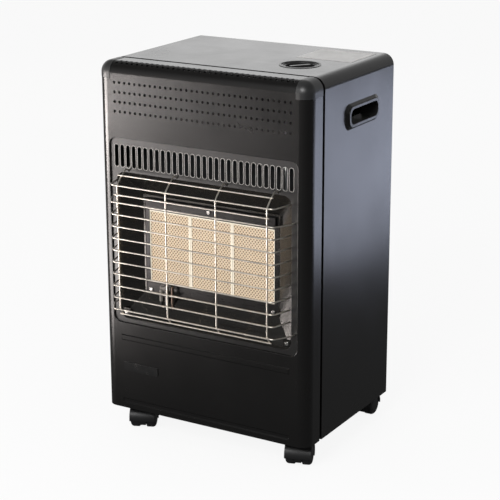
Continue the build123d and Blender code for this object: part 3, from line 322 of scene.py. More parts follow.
def enamel_skin_group():
    """Orange peel and slow waves of gloss, as sprayed and stoved enamel has."""
    group, start, end = new_group(
        "Enamel Skin", {"Size": 0.0016, "Roughness": 0.26}, ("Height", "Roughness")
    )
    place = object_place(group)
    fine = calculate(group, "DIVIDE", 1.0, start.outputs["Size"])
    peel = noise(group, place, fine, 2.0, 0.45)
    cloud = noise(group, place, 9.0, 3.0, 0.6)
    change = remap(group, cloud, 0.3, 0.7, -0.025, 0.025)
    feed(group, end.inputs["Height"], peel)
    feed(group, end.inputs["Roughness"], calculate(group, "ADD", start.outputs["Roughness"], change))
    return group


def soft_edge_group():
    """A mask that is 1 on edges and 0 on flats."""
    group, start, end = new_group("Soft Edge", {"Radius": 0.0006, "Breakup": 0.5}, ("Mask",))
    bevel = add_node(group, "ShaderNodeBevel", samples=4)
    feed(group, bevel.inputs["Radius"], start.outputs["Radius"])
    surface = add_node(group, "ShaderNodeNewGeometry")
    dot = add_node(group, "ShaderNodeVectorMath", operation="DOT_PRODUCT")
    feed(group, dot.inputs[0], bevel.outputs["Normal"])
    feed(group, dot.inputs[1], surface.outputs["Normal"])
    edge = remap(group, dot.outputs["Value"], 0.98, 0.80, 0.0, 1.0)
    patches = remap(group, noise(group, object_place(group), 60.0, 4.0, 0.65), 0.35, 0.65, 0.0, 1.0)
    broken = calculate(group, "MULTIPLY", patches, start.outputs["Breakup"])
    kept = calculate(group, "SUBTRACT", 1.0, broken)
    feed(group, end.inputs["Mask"], calculate(group, "MULTIPLY", edge, kept, clamp=True))
    return group


def moulded_grain_group():
    """The fine spark-eroded grain of moulded plastic."""
    group, start, end = new_group(
        "Moulded Grain", {"Size": 0.0007, "Roughness": 0.5}, ("Height", "Roughness")
    )
    place = object_place(group)
    scale = calculate(group, "DIVIDE", 1.0, start.outputs["Size"])
    grain = noise(group, place, scale, 3.0, 0.7)
    rubbing_and_lip_highlight = remap(group, noise(group, place, 25.0, 3.0, 0.6), 0.35, 0.7, -0.05, 0.05)
    feed(group, end.inputs["Height"], grain)
    feed(group, end.inputs["Roughness"], calculate(group, "ADD", start.outputs["Roughness"], rubbing_and_lip_highlight))
    return group


def drawn_metal_group():
    """Fine lines along one axis, as rolled sheet and drawn wire have."""
    group, start, end = new_group(
        "Drawn Metal", {"Roughness": 0.25, "Line Scale": 700.0}, ("Height", "Roughness", "Tone")
    )
    stretch = add_node(group, "ShaderNodeMapping")
    stretch.inputs["Scale"].default_value = (0.05, 1.0, 1.0)
    feed(group, stretch.inputs["Vector"], object_place(group))
    lines = noise(group, stretch.outputs[0], start.outputs["Line Scale"], 2.0, 0.5)
    stain = noise(group, object_place(group), 14.0, 4.0, 0.6)
    rough = remap(group, lines, 0.3, 0.7, -0.04, 0.06)
    feed(group, end.inputs["Height"], lines)
    feed(group, end.inputs["Roughness"], calculate(group, "ADD", start.outputs["Roughness"], rough))
    feed(group, end.inputs["Tone"], remap(group, stain, 0.3, 0.7, 0.82, 1.08))
    return group


def settled_dust_group():
    """A thin film of dust where a surface looks up."""
    group, start, end = new_group("Settled Dust", {"Amount": 0.1}, ("Mask",))
    surface = add_node(group, "ShaderNodeNewGeometry")
    upward = remap(group, split_vector(group, surface.outputs["Normal"])["Z"], 0.6, 1.0, 0.0, 1.0)
    specks = remap(group, noise(group, object_place(group), 45.0, 5.0, 0.7), 0.4, 0.75, 0.2, 1.0)
    film = calculate(group, "MULTIPLY", upward, specks)
    feed(group, end.inputs["Mask"], calculate(group, "MULTIPLY", film, start.outputs["Amount"]))
    return group


def repeat_offset(tree, value, pitch):
    """How far a value is from the nearest whole step of a pitch."""
    step = calculate(tree, "ROUND", calculate(tree, "DIVIDE", value, pitch))
    return calculate(tree, "SUBTRACT", value, calculate(tree, "MULTIPLY", step, pitch))


def plaque_dimple_group():
    """Staggered dimples over a plaque's field, fine pinholes between them, and the field itself."""
    group, start, end = new_group(
        "Plaque Dimples",
        {
            "Plaque Pitch": 0.086, "Middle Height": 0.3585, "Field Half Width": 0.0377,
            "Field Half Height": 0.062, "Pitch": 0.0060, "Rise": 0.0071, "Radius": 0.00135,
        },
        ("Dimple", "Field", "Pinhole"),
    )

    def reckon(operation, *sources):
        """A math node's result in this group."""
        return calculate(group, operation, *sources)

    given = start.outputs
    place = split_vector(group, object_place(group))
    x = repeat_offset(group, place["X"], given["Plaque Pitch"])
    z = reckon("SUBTRACT", place["Z"], given["Middle Height"])
    across = reckon("SUBTRACT", given["Field Half Width"], reckon("ABSOLUTE", x))
    up = reckon("SUBTRACT", given["Field Half Height"], reckon("ABSOLUTE", z))
    field = remap(group, reckon("MINIMUM", across, up), -0.0002, 0.0002, 0.0, 1.0)

    def to_nearest(shift, shrink):
        """The distance to the nearest point of one lattice."""
        squares = []
        for value, spacing in ((x, given["Pitch"]), (z, given["Rise"])):
            pitch = reckon("MULTIPLY", spacing, shrink)
            moved = reckon("ADD", value, reckon("MULTIPLY", pitch, shift))
            offset = repeat_offset(group, moved, pitch)
            squares.append(reckon("MULTIPLY", offset, offset))
        return reckon("SQRT", reckon("ADD", *squares))

    def dots(shrink, inner, outer):
        """A mask of staggered dots, soft between two shares of the radius."""
        nearest = reckon("MINIMUM", to_nearest(0.0, shrink), to_nearest(0.5, shrink))
        core = reckon("MULTIPLY", given["Radius"], inner)
        rim = reckon("MULTIPLY", given["Radius"], outer)
        return reckon("MULTIPLY", remap(group, nearest, core, rim, 1.0, 0.0), field)

    pinhole_share = 0.3333
    feed(group, end.inputs["Dimple"], dots(1.0, 0.85, 1.15))
    feed(group, end.inputs["Field"], field)
    feed(group, end.inputs["Pinhole"], dots(pinhole_share, 0.3, 0.6))
    return group


EFFECTS = {
    "Enamel Skin": enamel_skin_group,
    "Soft Edge": soft_edge_group,
    "Moulded Grain": moulded_grain_group,
    "Drawn Metal": drawn_metal_group,
    "Settled Dust": settled_dust_group,
    "Plaque Dimples": plaque_dimple_group,
}


def effect(tree, name, **values):
    """A shared effect placed in a material with its own values."""
    group = bpy.data.node_groups.get(name) or EFFECTS[name]()
    node = add_node(tree, "ShaderNodeGroup", node_tree=group)
    for label, value in values.items():
        feed(tree, node.inputs[label.replace("_", " ")], value)
    return node.outputs


# ---- Materials ----

def new_material(name, **constants):
    """A material with one Principled shader, whose plain values are on its own sockets."""
    material = bpy.data.materials.new(name)
    material.use_nodes = True
    tree = material.node_tree
    shader = tree.nodes["Principled BSDF"]
    for label, value in constants.items():
        shader.inputs[label.replace("_", " ")].default_value = value
    return material, tree, shader


def raise_surface(tree, shader, height, distance, edge_radius=None):
    """Bump from a height, over edges that a bevel normal rounds."""
    bump = add_node(tree, "ShaderNodeBump")
    bump.inputs["Strength"].default_value = 1.0
    bump.inputs["Distance"].default_value = distance
    feed(tree, bump.inputs["Height"], height)
    if edge_radius:
        bevel = add_node(tree, "ShaderNodeBevel", samples=4)
        bevel.inputs["Radius"].default_value = edge_radius
        feed(tree, bump.inputs["Normal"], bevel.outputs["Normal"])
    feed(tree, shader.inputs["Normal"], bump.outputs["Normal"])


def make_enamel(settings, name="Black Enamel", roughness=None, gloss=0.4, coat=0.0):
    """Black stoved enamel, a little lighter where edges are rubbed."""
    rough = settings.roughness if roughness is None else roughness
    material, tree, shader = new_material(
        name, Coat_Weight=coat, Coat_Roughness=0.12, Specular_IOR_Level=gloss
    )
    skin = effect(tree, "Enamel Skin", Size=settings.peel_size, Roughness=rough)
    edge = effect(tree, "Soft Edge", Radius=settings.edge_radius, Breakup=0.5)["Mask"]
    dust = effect(tree, "Settled Dust", Amount=0.015)["Mask"]
    base = tuple(settings.colour)
    worn = tuple(min(1.0, part * 2.0 + 0.004) for part in base)
    colour = blend_colours(tree, edge, base, worn)
    colour = blend_colours(tree, dust, colour, DUST_COLOUR)
    feed(tree, shader.inputs["Base Color"], colour)
    feed(tree, shader.inputs["Roughness"], skin["Roughness"])
    raise_surface(tree, shader, skin["Height"], settings.peel_depth, settings.edge_radius)
    return material


def make_plastic(name, colour, roughness, grain_size=0.0007, depth=0.00003, gloss=0.35):
    """A moulded or glazed surface with a fine grain."""
    material, tree, shader = new_material(name, Specular_IOR_Level=gloss)
    grain = effect(tree, "Moulded Grain", Size=grain_size, Roughness=roughness)
    edge = effect(tree, "Soft Edge", Radius=0.0008, Breakup=0.6)["Mask"]
    dust = effect(tree, "Settled Dust", Amount=0.06)["Mask"]
    worn = tuple(min(1.0, part * 2.5 + 0.01) for part in colour)
    shade = blend_colours(tree, edge, colour, worn)
    shade = blend_colours(tree, dust, shade, DUST_COLOUR)
    feed(tree, shader.inputs["Base Color"], shade)
    feed(tree, shader.inputs["Roughness"], grain["Roughness"])
    raise_surface(tree, shader, grain["Height"], depth, 0.0005)
    return material


def make_metal(name, colour, roughness, depth=0.000008, line_scale=700.0, metallic=1.0, edge=0.0003):
    """Rolled, drawn or turned metal."""
    material, tree, shader = new_material(name, Metallic=metallic)
    drawn = effect(tree, "Drawn Metal", Roughness=roughness, Line_Scale=line_scale)
    grey = add_node(tree, "ShaderNodeCombineColor")
    for socket in grey.inputs:
        feed(tree, socket, drawn["Tone"])
    tinted = blend_colours(tree, 1.0, colour, grey.outputs[0], "MULTIPLY")
    feed(tree, shader.inputs["Base Color"], tinted)
    feed(tree, shader.inputs["Roughness"], drawn["Roughness"])
    raise_surface(tree, shader, drawn["Height"], depth, edge)
    return material


def make_ceramic(settings):
    """Perforated ceramic with plain borders, painted shade in its dimples and pinholes, and painted light
    that makes it a little lighter to the left.
    """
    material, tree, shader = new_material("Plaque Ceramic", Roughness=0.85, Specular_IOR_Level=0.3)
    low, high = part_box("plaque_centre")
    right_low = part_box("plaque_right")[0]
    hidden_lap = 0.0025
    marks = effect(
        tree, "Plaque Dimples",
        Plaque_Pitch=right_low.x - low.x,
        Middle_Height=(low.z + high.z) / 2,
        Field_Half_Width=(high.x - low.x) / 2 - settings.border,
        Field_Half_Height=(high.z - low.z) / 2 - settings.border - hidden_lap,
        Pitch=settings.dimple_pitch, Rise=settings.dimple_rise, Radius=settings.dimple_radius,
    )
    place = object_place(tree)
    stain = remap(tree, noise(tree, place, 22.0, 4.0, 0.6), 0.35, 0.7, 0.0, 1.0)
    # Painted light: the plaques are painted lighter towards the left, where the light falls.
    painted_left_light = remap(tree, split_vector(tree, place)["X"], -0.13, 0.10, 1.0, 0.0)
    pale = tuple(min(1.0, part * 1.02 + 0.02) for part in settings.field)
    field = blend_colours(tree, painted_left_light, pale, tuple(settings.field))
    # Painted shade: the dimples and pinholes are painted dark brown, as the shade in them; the stain is the
    # ceramic's own.
    for mask, share, colour in (
        (stain, 0.2, (0.80, 0.62, 0.38)),
        (marks["Pinhole"], 0.1, tuple(settings.dimple_shade)),
        (marks["Dimple"], 0.95, tuple(settings.dimple_shade)),
    ):
        field = blend_colours(tree, calculate(tree, "MULTIPLY", mask, share), field, colour)
    colour = blend_colours(tree, marks["Field"], tuple(settings.ceramic), field)
    feed(tree, shader.inputs["Base Color"], colour)
    sand = noise(tree, place, 1500.0, 2.0, 0.6)
    holes = calculate(tree, "MAXIMUM", marks["Dimple"], marks["Pinhole"])
    height = calculate(tree, "SUBTRACT", calculate(tree, "MULTIPLY", sand, 0.1), holes)
    raise_surface(tree, shader, height, 0.0003, 0.0004)
    return material


def make_foil():
    """A blank foil plate, slightly crinkled."""
    material, tree, shader = new_material("Blank Foil", Metallic=0.35)
    place = object_place(tree)
    crinkle = noise(tree, place, 260.0, 3.0, 0.55)
    tone = remap(tree, noise(tree, place, 40.0, 3.0, 0.5), 0.3, 0.7, 0.0, 1.0)
    colour = blend_colours(tree, tone, (0.42, 0.41, 0.40), (0.52, 0.51, 0.50))
    feed(tree, shader.inputs["Base Color"], colour)
    feed(tree, shader.inputs["Roughness"], remap(tree, crinkle, 0.3, 0.7, 0.38, 0.5))
    raise_surface(tree, shader, crinkle, 0.00002)
    return material


def make_badge_with_painted_edge_highlight():
    """Black lacquer with a painted highlight on its edges."""
    material, tree, shader = new_material("Badge Lacquer With Painted Edge Highlight", Coat_Weight=0.6, Coat_Roughness=0.05)
    edge = effect(tree, "Soft Edge", Radius=0.0003, Breakup=0.0)["Mask"]
    # Painted highlight: the edges are painted light grey and made partly metallic, standing in for the
    # light on the plate's edges.
    colour = blend_colours(tree, edge, (0.006, 0.006, 0.006), (0.30, 0.29, 0.28))
    feed(tree, shader.inputs["Base Color"], colour)
    place = object_place(tree)
    feed(tree, shader.inputs["Roughness"], remap(tree, noise(tree, place, 80.0), 0.3, 0.7, 0.18, 0.28))
    feed(tree, shader.inputs["Metallic"], calculate(tree, "MULTIPLY", edge, 0.8))
    raise_surface(tree, shader, noise(tree, place, 900.0), 0.000006, 0.0004)
    return material


def paint(material, *names):
    """Gives CAD nodes their finish."""
    for name in names:
        piece = NODES[name]
        if not piece.material_slots:
            piece.data.materials.append(material)
        for slot in piece.material_slots:
            slot.material = material


# ---- Mesh tools ----

def finish_piece(name, mesh_data, material, body, smooth_angle=40.0):
    """Turns a bmesh into a named object at the origin that rides on a body."""
    bmesh.ops.recalc_face_normals(mesh_data, faces=mesh_data.faces)
    mesh = bpy.data.meshes.new(name)
    mesh_data.to_mesh(mesh)
    mesh_data.free()
    for polygon in mesh.polygons:
        polygon.use_smooth = True
    mesh.set_sharp_from_angle(angle=radians(smooth_angle))
    mesh.materials.append(material)
    piece = bpy.data.objects.new(name, mesh)
    bpy.context.scene.collection.objects.link(piece)
    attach(piece, body)
    return piece


def add_bead(mesh_data, centre, radius, flatten):
    """A flattened drop of weld."""
    place = Matrix.Translation(centre) @ Matrix.Diagonal((*flatten, 1.0))
    bmesh.ops.create_icosphere(mesh_data, subdivisions=2, radius=radius, matrix=place)


def add_cone(mesh_data, start, end, start_radius, end_radius, segments=32):
    """A closed frustum between two points."""
    axis = end - start
    turn = axis.to_track_quat("Z", "Y").to_matrix().to_4x4()
    place = Matrix.Translation((start + end) / 2) @ turn
    bmesh.ops.create_cone(
        mesh_data, cap_ends=True, segments=segments, radius1=start_radius,
        radius2=end_radius, depth=axis.length, matrix=place,
    )


def add_lip(mesh_data, centre, round_end, straight, radius, steps=10, sides=6):
    """A bead that follows an upright slot's edge, half sunk in the sheet."""
    path = []
    for end, start in ((1, 0.0), (-1, pi)):
        for step in range(steps + 1):
            angle = start + pi * step / steps
            out = Vector((cos(angle), 0, sin(angle)))
            path.append((centre + Vector((0, 0, end * straight)) + out * round_end, out))
    rings = []
    forward = Vector((0, 1, 0))
    for place, out in path:
        turns = [2 * pi * side / sides for side in range(sides)]
        spots = [place + out * (cos(turn) * radius) + forward * (sin(turn) * radius) for turn in turns]
        rings.append([mesh_data.verts.new(spot) for spot in spots])
    for index, ring in enumerate(rings):
        following = rings[(index + 1) % len(rings)]
        for side in range(sides):
            other = (side + 1) % sides
            mesh_data.faces.new((ring[side], ring[other], following[other], following[side]))


# ---- Operators: one for each group of like pieces ----

class HEATER_OT_enamel_cabinet(bpy.types.Operator):
    """Enamel the cabinet, its fascia, tray and rear cover"""

    bl_idname = "heater.enamel_cabinet"
    bl_label = "Enamel Cabinet"

    def execute(self, context):
        settings = context.scene.heater_enamel
        enamel = make_enamel(settings)
        paint(enamel, "cabinet_wrap", "front_fascia", "base_tray", "rear_cover", "rear_top_brace")
        paint(make_enamel(settings, "Satin Enamel", 0.42), "front_frame")
        surround = make_enamel(settings, "Surround Enamel", 0.34, 0.5, 0.3)
        paint(surround, "burner_surround")
        # Painted highlight: the lips' light grey colour stands in for the light that the rounded pressed
        # lips catch; the enamel round them stays black.
        rubbing_and_lip_highlight = make_plastic("Painted Highlight Lip", (0.30, 0.29, 0.275), 0.3, 0.0008, 0.000004, 0.8)
        self.roll_slot_lips(settings, rubbing_and_lip_highlight)
        caps = make_plastic("Cap Plastic", (0.017, 0.0175, 0.018), 0.40, 0.0006, 0.000012, 0.5)
        paint(caps, "corner_cap_left", "corner_cap_right")
        return {"FINISHED"}

    def roll_slot_lips(self, settings, material):
        """A half-round lip round every slot, as the press leaves it."""
        low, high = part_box("burner_surround")
        clear_share = 0.6
        round_end = settings.slot_width / 2 + settings.lip_radius * clear_share
        straight = (settings.slot_length - settings.slot_width) / 2
        middle = high.z - settings.slot_drop - settings.slot_length / 2
        first = -settings.slot_pitch * (settings.slot_count - 1) / 2
        lips = bmesh.new()
        for index in range(settings.slot_count):
            x = first + index * settings.slot_pitch
            add_lip(lips, Vector((x, low.y, middle)), round_end, straight, settings.lip_radius)
        finish_piece("slot_lips", lips, material, "cabinet", 60.0)


class HEATER_OT_dress_burner(bpy.types.Operator):
    """Finish the plaques, the reflector and the pilot"""

    bl_idname = "heater.dress_burner"
    bl_label = "Dress Burner"

    def execute(self, context):
        settings = context.scene.heater_burner
        paint(make_ceramic(settings), *[f"plaque_{place}" for place in PLAQUES])
        reflector = make_metal(
            "Dark Reflector", tuple(settings.reflector), 0.16, depth=0.00001, line_scale=220.0, metallic=0.9
        )
        paint(reflector, "firebox_liner")
        dark = make_metal("Heat Darkened Steel", (0.030, 0.029, 0.029), 0.30, metallic=0.85)
        paint(dark, "burner_frame", *[f"burner_box_{place}" for place in PLAQUES])
        paint(make_metal("Bright Screws", (0.62, 0.61, 0.59), 0.2), "burner_screws")
        sooted = make_metal("Sooted Steel", (0.13, 0.125, 0.12), 0.35)
        paint(sooted, "pilot_bracket", "pilot_burner")
        glazed = make_plastic("Glazed Insulator", (0.20, 0.185, 0.165), 0.3, 0.0004, 0.000004)
        paint(glazed, "spark_electrode")
        return {"FINISHED"}


class HEATER_OT_dress_guard(bpy.types.Operator):
    """Plate the wire guard and put a bead of weld on every crossing"""

    bl_idname = "heater.dress_guard"
    bl_label = "Dress Guard"

    def execute(self, context):
        settings = context.scene.heater_guard
        plating = make_metal(
            "Guard Plating", tuple(settings.colour), 0.32, depth=0.000004, line_scale=1500.0, edge=None
        )
        paint(plating, "wire_guard")
        low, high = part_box("wire_guard")
        wire = settings.wire_radius
        front = low.y + wire
        half = settings.column_pitch * (settings.columns - 1) / 2
        columns = [settings.column_pitch * index - half for index in range(settings.columns)]
        rows = [settings.bottom_row + settings.row_pitch * index for index in range(settings.rows)]
        rows += [settings.bend_row, settings.second_row]
        foot_step, slope_step, slope_share = 0.009, 0.014, 0.7
        spots = [(front + wire, height) for height in rows]
        spots.append((front + foot_step + wire, low.z + wire))
        spots.append((front + slope_step + wire * slope_share, settings.top_row - wire * slope_share))
        flatten = (1.25, 0.8, 1.1)
        beads = bmesh.new()
        for x in columns:
            for y, z in spots:
                add_bead(beads, Vector((x, y, z)), settings.weld_radius, flatten)
        finish_piece("guard_welds", beads, plating, "cabinet", 80.0)
        return {"FINISHED"}


class HEATER_OT_dress_controls(bpy.types.Operator):
    """Finish the knob, its well, the handles and the badge"""

    bl_idname = "heater.dress_controls"
    bl_label = "Dress Controls"

    def execute(self, context):
        knob = make_plastic("Knob Plastic", (0.016, 0.016, 0.016), 0.34, 0.0005, 0.00001)
        paint(knob, "control_knob", "knob_well")
        grip = make_plastic("Grip Plastic", (0.014, 0.014, 0.014), 0.30, 0.0006, 0.000015)
        paint(grip, "handle_grip_left", "handle_grip_right")
        paint(make_badge_with_painted_edge_highlight(), "badge_plate")
        paint(make_foil(), "foil_plate")
        return {"FINISHED"}


class HEATER_OT_dress_gas_line(bpy.types.Operator):
    """Finish the valve, manifold, jets, pipes and shield, and add the nozzle's barbs"""

    bl_idname = "heater.dress_gas_line"
    bl_label = "Dress Gas Line"

    def execute(self, context):
        settings = context.scene.heater_fittings
        brass = make_metal("Turned Brass", (0.72, 0.53, 0.25), 0.26, line_scale=900.0)
        paint(brass, "gas_jets", "hose_nozzle", "valve_plunger", "valve_spindle")
        zinc = make_metal("Zinc Plate", (0.58, 0.59, 0.60), 0.34, line_scale=260.0)
        paint(zinc, "gas_manifold", "valve_bracket")
        # Painted shade: the heat shield is painted near black, so the slots in front of it look shaded.
        paint(make_metal("Shield Painted Dark As Shade", (0.10, 0.10, 0.102), 0.5, line_scale=260.0), "heat_shield")
        paint(make_metal("Cast Alloy", (0.50, 0.50, 0.51), 0.48, depth=0.00003), "gas_valve")
        paint(make_metal("Aluminium Pipe", (0.32, 0.315, 0.31), 0.35), "pilot_pipe")
        paint(make_metal("Copper Capillary", (0.17, 0.125, 0.10), 0.4), "thermocouple")
        sleeve = make_plastic("Lead Sleeve", (0.03, 0.03, 0.03), 0.6, 0.0004, 0.00001)
        paint(sleeve, "ignition_lead")
        low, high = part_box("hose_nozzle")
        radius, end_gap, barb_pitch, barb_length = 0.005, 0.002, 0.0045, 0.0035
        centre_x, centre_z = (low.x + high.x) / 2, (low.z + high.z) / 2
        rings = bmesh.new()
        for index in range(settings.barbs):
            back = high.y - end_gap - index * barb_pitch
            start = Vector((centre_x, back - barb_length, centre_z))
            end = Vector((centre_x, back, centre_z))
            add_cone(rings, start, end, radius + settings.barb_height, radius)
        finish_piece("nozzle_barbs", rings, brass, "cabinet", 30.0)
        return {"FINISHED"}


class HEATER_OT_dress_back(bpy.types.Operator):
    """Finish the rear cover's studs and knurl their heads"""

    bl_idname = "heater.dress_back"
    bl_label = "Dress Back"

    def execute(self, context):
        settings = context.scene.heater_fittings
        plastic = make_plastic("Stud Plastic", (0.018, 0.018, 0.018), 0.42)
        paint(plastic, "cover_studs", "castor_sockets")
        low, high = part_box("cover_studs")
        head, rib_start, rib_end, rib_sides = 0.007, 0.0052, 0.0014, 8
        ribs = bmesh.new()
        for x in (low.x + head, high.x - head):
            for z in (low.z + head, high.z - head):
                for index in range(settings.knurls):
                    angle = 2 * pi * index / settings.knurls
                    out = Vector((cos(angle), 0, sin(angle)))
                    start = Vector((x, high.y - rib_start, z)) + out * head
                    end = Vector((x, high.y - rib_end, z)) + out * head
                    add_cone(ribs, start, end, settings.knurl_height, settings.knurl_height, rib_sides)
        finish_piece("stud_knurls", ribs, plastic, "rear_cover", 50.0)
        return {"FINISHED"}


class HEATER_OT_dress_castors(bpy.types.Operator):
    """Finish the castors and cap their wheels' hubs"""

    bl_idname = "heater.dress_castors"
    bl_label = "Dress Castors"

    def execute(self, context):
        settings = context.scene.heater_fittings
        hood = make_plastic("Castor Plastic", (0.012, 0.012, 0.0125), 0.45)
        tyre = make_plastic("Wheel Nylon", (0.016, 0.016, 0.017), 0.40)
        steel = make_metal("Castor Steel", (0.55, 0.55, 0.56), 0.3)
        joints = {joint["name"]: joint for joint in frame["joints"]}
        cap_offset, rim_height, dome_start, dome_end = 0.0222, 0.0007, 0.0006, 0.0011
        rim, shoulder, top = settings.hub_cap, settings.hub_cap * 0.9, settings.hub_cap * 0.55
        for place in CASTORS:
            body = f"castor_{place}"
            paint(hood, f"{body}_hood")
            paint(steel, f"{body}_pins")
            for side, sign in zip(SIDES, (-1, 1)):
                wheel = f"{body}_wheel_{side}"
                paint(tyre, wheel)
                spin = joints[f"{body}_spin_{side}"]
                axis = Vector(spin["axis"]) * sign
                centre = Vector(spin["pos_m"])
                face = centre + axis * cap_offset
                cap = bmesh.new()
                add_cone(cap, face, face + axis * rim_height, rim, shoulder)
                add_cone(cap, face + axis * dome_start, face + axis * dome_end, shoulder, top)
                finish_piece(f"{wheel}_cap", cap, hood, wheel, 30.0)
        return {"FINISHED"}


# Each lamp's name, place, target, width and length, watts and colour. Panels lie on the floor,
# where the enamel mirrors them, and boxes hang in the air.
LAMPS = (
    ("Front Left Panel", (-2.50, -1.9, 0.02), (-2.50, -1.9, 1.0), (1.4, 1.8), 320.0, WARM_LIGHT),
    ("Front Near Panel", (-1.05, -0.85, 0.01), (-1.05, -0.85, 1.0), (0.9, 0.8), 26.0, WARM_LIGHT),
    ("Back Left Box", (-1.9, 3.0, 1.7), (0.0, 0.0, 0.69), (2.6, 1.2), 6.3, WHITE),
    ("Back Right Panel", (1.35, 2.15, 0.02), (1.35, 2.15, 1.0), (1.3, 2.6), 34.0, COOL_LIGHT),
    ("Front Box", (0.25, -2.5, 1.9), (0.0, 0.0, 0.35), (1.4, 1.0), 58.0, WHITE),
)


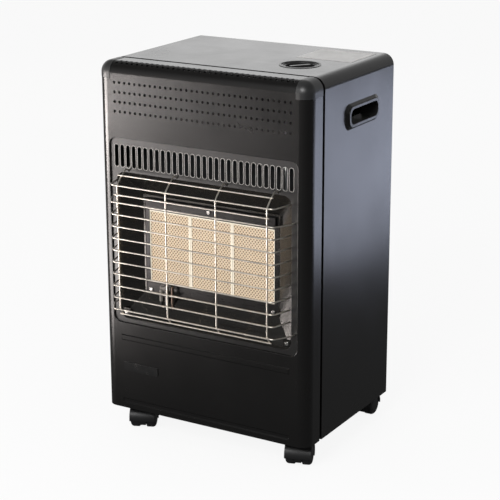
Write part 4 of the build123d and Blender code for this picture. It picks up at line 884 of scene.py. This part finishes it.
class HEATER_OT_set_stage(bpy.types.Operator):
    """Lay the pale floor, hang the soft lights and place the camera"""

    bl_idname = "heater.set_stage"
    bl_label = "Set Stage"

    def execute(self, context):
        settings = context.scene.heater_stage
        self.lay_floor(settings)
        self.light_world(context.scene, settings)
        for lamp in LAMPS:
            self.hang_light(*lamp)
        self.place_camera(context.scene, settings)
        context.scene.view_settings.view_transform = "Standard"
        return {"FINISHED"}

    def lay_floor(self, settings):
        """A pale floor that gives the dark enamel little light back."""
        floor_reach = 9.0
        plane = bmesh.new()
        bmesh.ops.create_grid(plane, x_segments=1, y_segments=1, size=floor_reach)
        mesh = bpy.data.meshes.new("floor")
        plane.to_mesh(mesh)
        plane.free()
        floor = bpy.data.objects.new("floor", mesh)
        bpy.context.scene.collection.objects.link(floor)
        material, tree, shader = new_material("Pale Floor", Roughness=0.9, Specular_IOR_Level=0.1)
        path = add_node(tree, "ShaderNodeLightPath")
        colour = blend_colours(
            tree, path.outputs["Is Camera Ray"], tuple(settings.floor_bounce), tuple(settings.floor_colour)
        )
        feed(tree, shader.inputs["Base Color"], colour)
        glow = add_node(tree, "ShaderNodeEmission")
        glow.inputs["Color"].default_value = (*WHITE, 1.0)
        camera_share, reflected_share = 0.9, 0.05
        seen = self.any_of(path, "Is Glossy Ray", "Is Transmission Ray")
        reflected = calculate(tree, "MULTIPLY", seen, reflected_share)
        direct = calculate(tree, "MULTIPLY", path.outputs["Is Camera Ray"], camera_share)
        share = calculate(tree, "MAXIMUM", direct, reflected)
        mix = add_node(tree, "ShaderNodeMixShader")
        feed(tree, mix.inputs[0], share)
        feed(tree, mix.inputs[1], shader.outputs[0])
        feed(tree, mix.inputs[2], glow.outputs[0])
        feed(tree, tree.nodes["Material Output"].inputs["Surface"], mix.outputs[0])
        mesh.materials.append(material)

    def any_of(self, path, first, *others):
        """1 where a ray is of any of the kinds named."""
        result = path.outputs[first]
        for kind in others:
            result = calculate(path.id_data, "MAXIMUM", result, path.outputs[kind])
        return result

    def light_world(self, scene, settings):
        """White to the camera, and darker overhead, in front and to the right in reflections."""
        world = bpy.data.worlds.new("Studio")
        scene.world = world
        world.use_nodes = True
        tree = world.node_tree
        shade = tree.nodes["Background"]
        path = add_node(tree, "ShaderNodeLightPath")
        seen = self.any_of(path, "Is Camera Ray", "Is Transmission Ray", "Is Glossy Ray")
        way = split_vector(tree, add_node(tree, "ShaderNodeTexCoord").outputs["Generated"])
        overhead = remap(tree, way["Z"], 0.30, 0.70, 1.0, 0.2)
        behind = remap(tree, way["Y"], -0.2, 0.6, 0.45, 1.0)
        left = remap(tree, way["X"], -0.1, 0.5, 1.0, 0.4)
        reflected = calculate(tree, "MULTIPLY", overhead, calculate(tree, "MULTIPLY", behind, left))
        unseen = remap(tree, path.outputs["Is Camera Ray"], 0.0, 1.0, reflected, 1.0)
        level = remap(tree, seen, 0.0, 1.0, settings.fill_level, unseen)
        feed(tree, shade.inputs["Strength"], level)
        shade.inputs["Color"].default_value = (*WHITE, 1.0)

    def hang_light(self, name, place, target, size, power, colour):
        """An area lamp that the camera doesn't see."""
        lamp = bpy.data.lights.new(name, "AREA")
        lamp.shape = "RECTANGLE"
        lamp.size, lamp.size_y = size
        lamp.energy = power
        lamp.color = colour
        light = bpy.data.objects.new(name, lamp)
        bpy.context.scene.collection.objects.link(light)
        light.location = place
        light.visible_camera = False
        aim = Vector(target) - Vector(place)
        light.rotation_euler = aim.to_track_quat("-Z", "Y").to_euler()

    def place_camera(self, scene, settings):
        """A long lens, without any shift."""
        data = bpy.data.cameras.new("Camera")
        data.lens = settings.focal_length
        data.sensor_width = 36.0
        camera = bpy.data.objects.new("Camera", data)
        scene.collection.objects.link(camera)
        turn = (
            Matrix.Rotation(settings.camera_yaw, 4, "Z")
            @ Matrix.Rotation(pi / 2 - settings.camera_pitch, 4, "X")
            @ Matrix.Rotation(settings.camera_roll, 4, "Z")
        )
        camera.matrix_world = Matrix.Translation(Vector(settings.camera_place)) @ turn
        scene.camera = camera


# ---- Panel and registration ----

OPERATORS = (
    HEATER_OT_enamel_cabinet,
    HEATER_OT_dress_burner,
    HEATER_OT_dress_guard,
    HEATER_OT_dress_controls,
    HEATER_OT_dress_gas_line,
    HEATER_OT_dress_back,
    HEATER_OT_dress_castors,
    HEATER_OT_set_stage,
)
SETTINGS = {
    "heater_enamel": EnamelSettings,
    "heater_burner": BurnerSettings,
    "heater_guard": GuardSettings,
    "heater_fittings": FittingSettings,
    "heater_stage": StageSettings,
}


class HEATER_PT_dressing(bpy.types.Panel):
    """Lists the heater's settings and operators"""

    bl_label = "Heater Dressing"
    bl_idname = "HEATER_PT_dressing"
    bl_space_type = "VIEW_3D"
    bl_region_type = "UI"
    bl_category = "Heater"

    def draw(self, context):
        for name, group in SETTINGS.items():
            column = self.layout.column(align=True)
            column.label(text=group.__name__.replace("Settings", ""))
            for label in group.__annotations__:
                column.prop(getattr(context.scene, name), label)
        for operator in OPERATORS:
            self.layout.operator(operator.bl_idname)


def register():
    """Registers the settings, the operators and the panel."""
    for name, group in SETTINGS.items():
        bpy.utils.register_class(group)
        setattr(bpy.types.Scene, name, PointerProperty(type=group))
    for operator in OPERATORS:
        bpy.utils.register_class(operator)
    bpy.utils.register_class(HEATER_PT_dressing)


def unregister():
    """Takes out all that register adds."""
    bpy.utils.unregister_class(HEATER_PT_dressing)
    for operator in reversed(OPERATORS):
        bpy.utils.unregister_class(operator)
    for name, group in reversed(SETTINGS.items()):
        delattr(bpy.types.Scene, name)
        bpy.utils.unregister_class(group)


def main():
    """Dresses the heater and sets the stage."""
    register()
    bpy.ops.heater.enamel_cabinet()
    bpy.ops.heater.dress_burner()
    bpy.ops.heater.dress_guard()
    bpy.ops.heater.dress_controls()
    bpy.ops.heater.dress_gas_line()
    bpy.ops.heater.dress_back()
    bpy.ops.heater.dress_castors()
    bpy.ops.heater.set_stage()


if __name__ == "__main__":
    main()
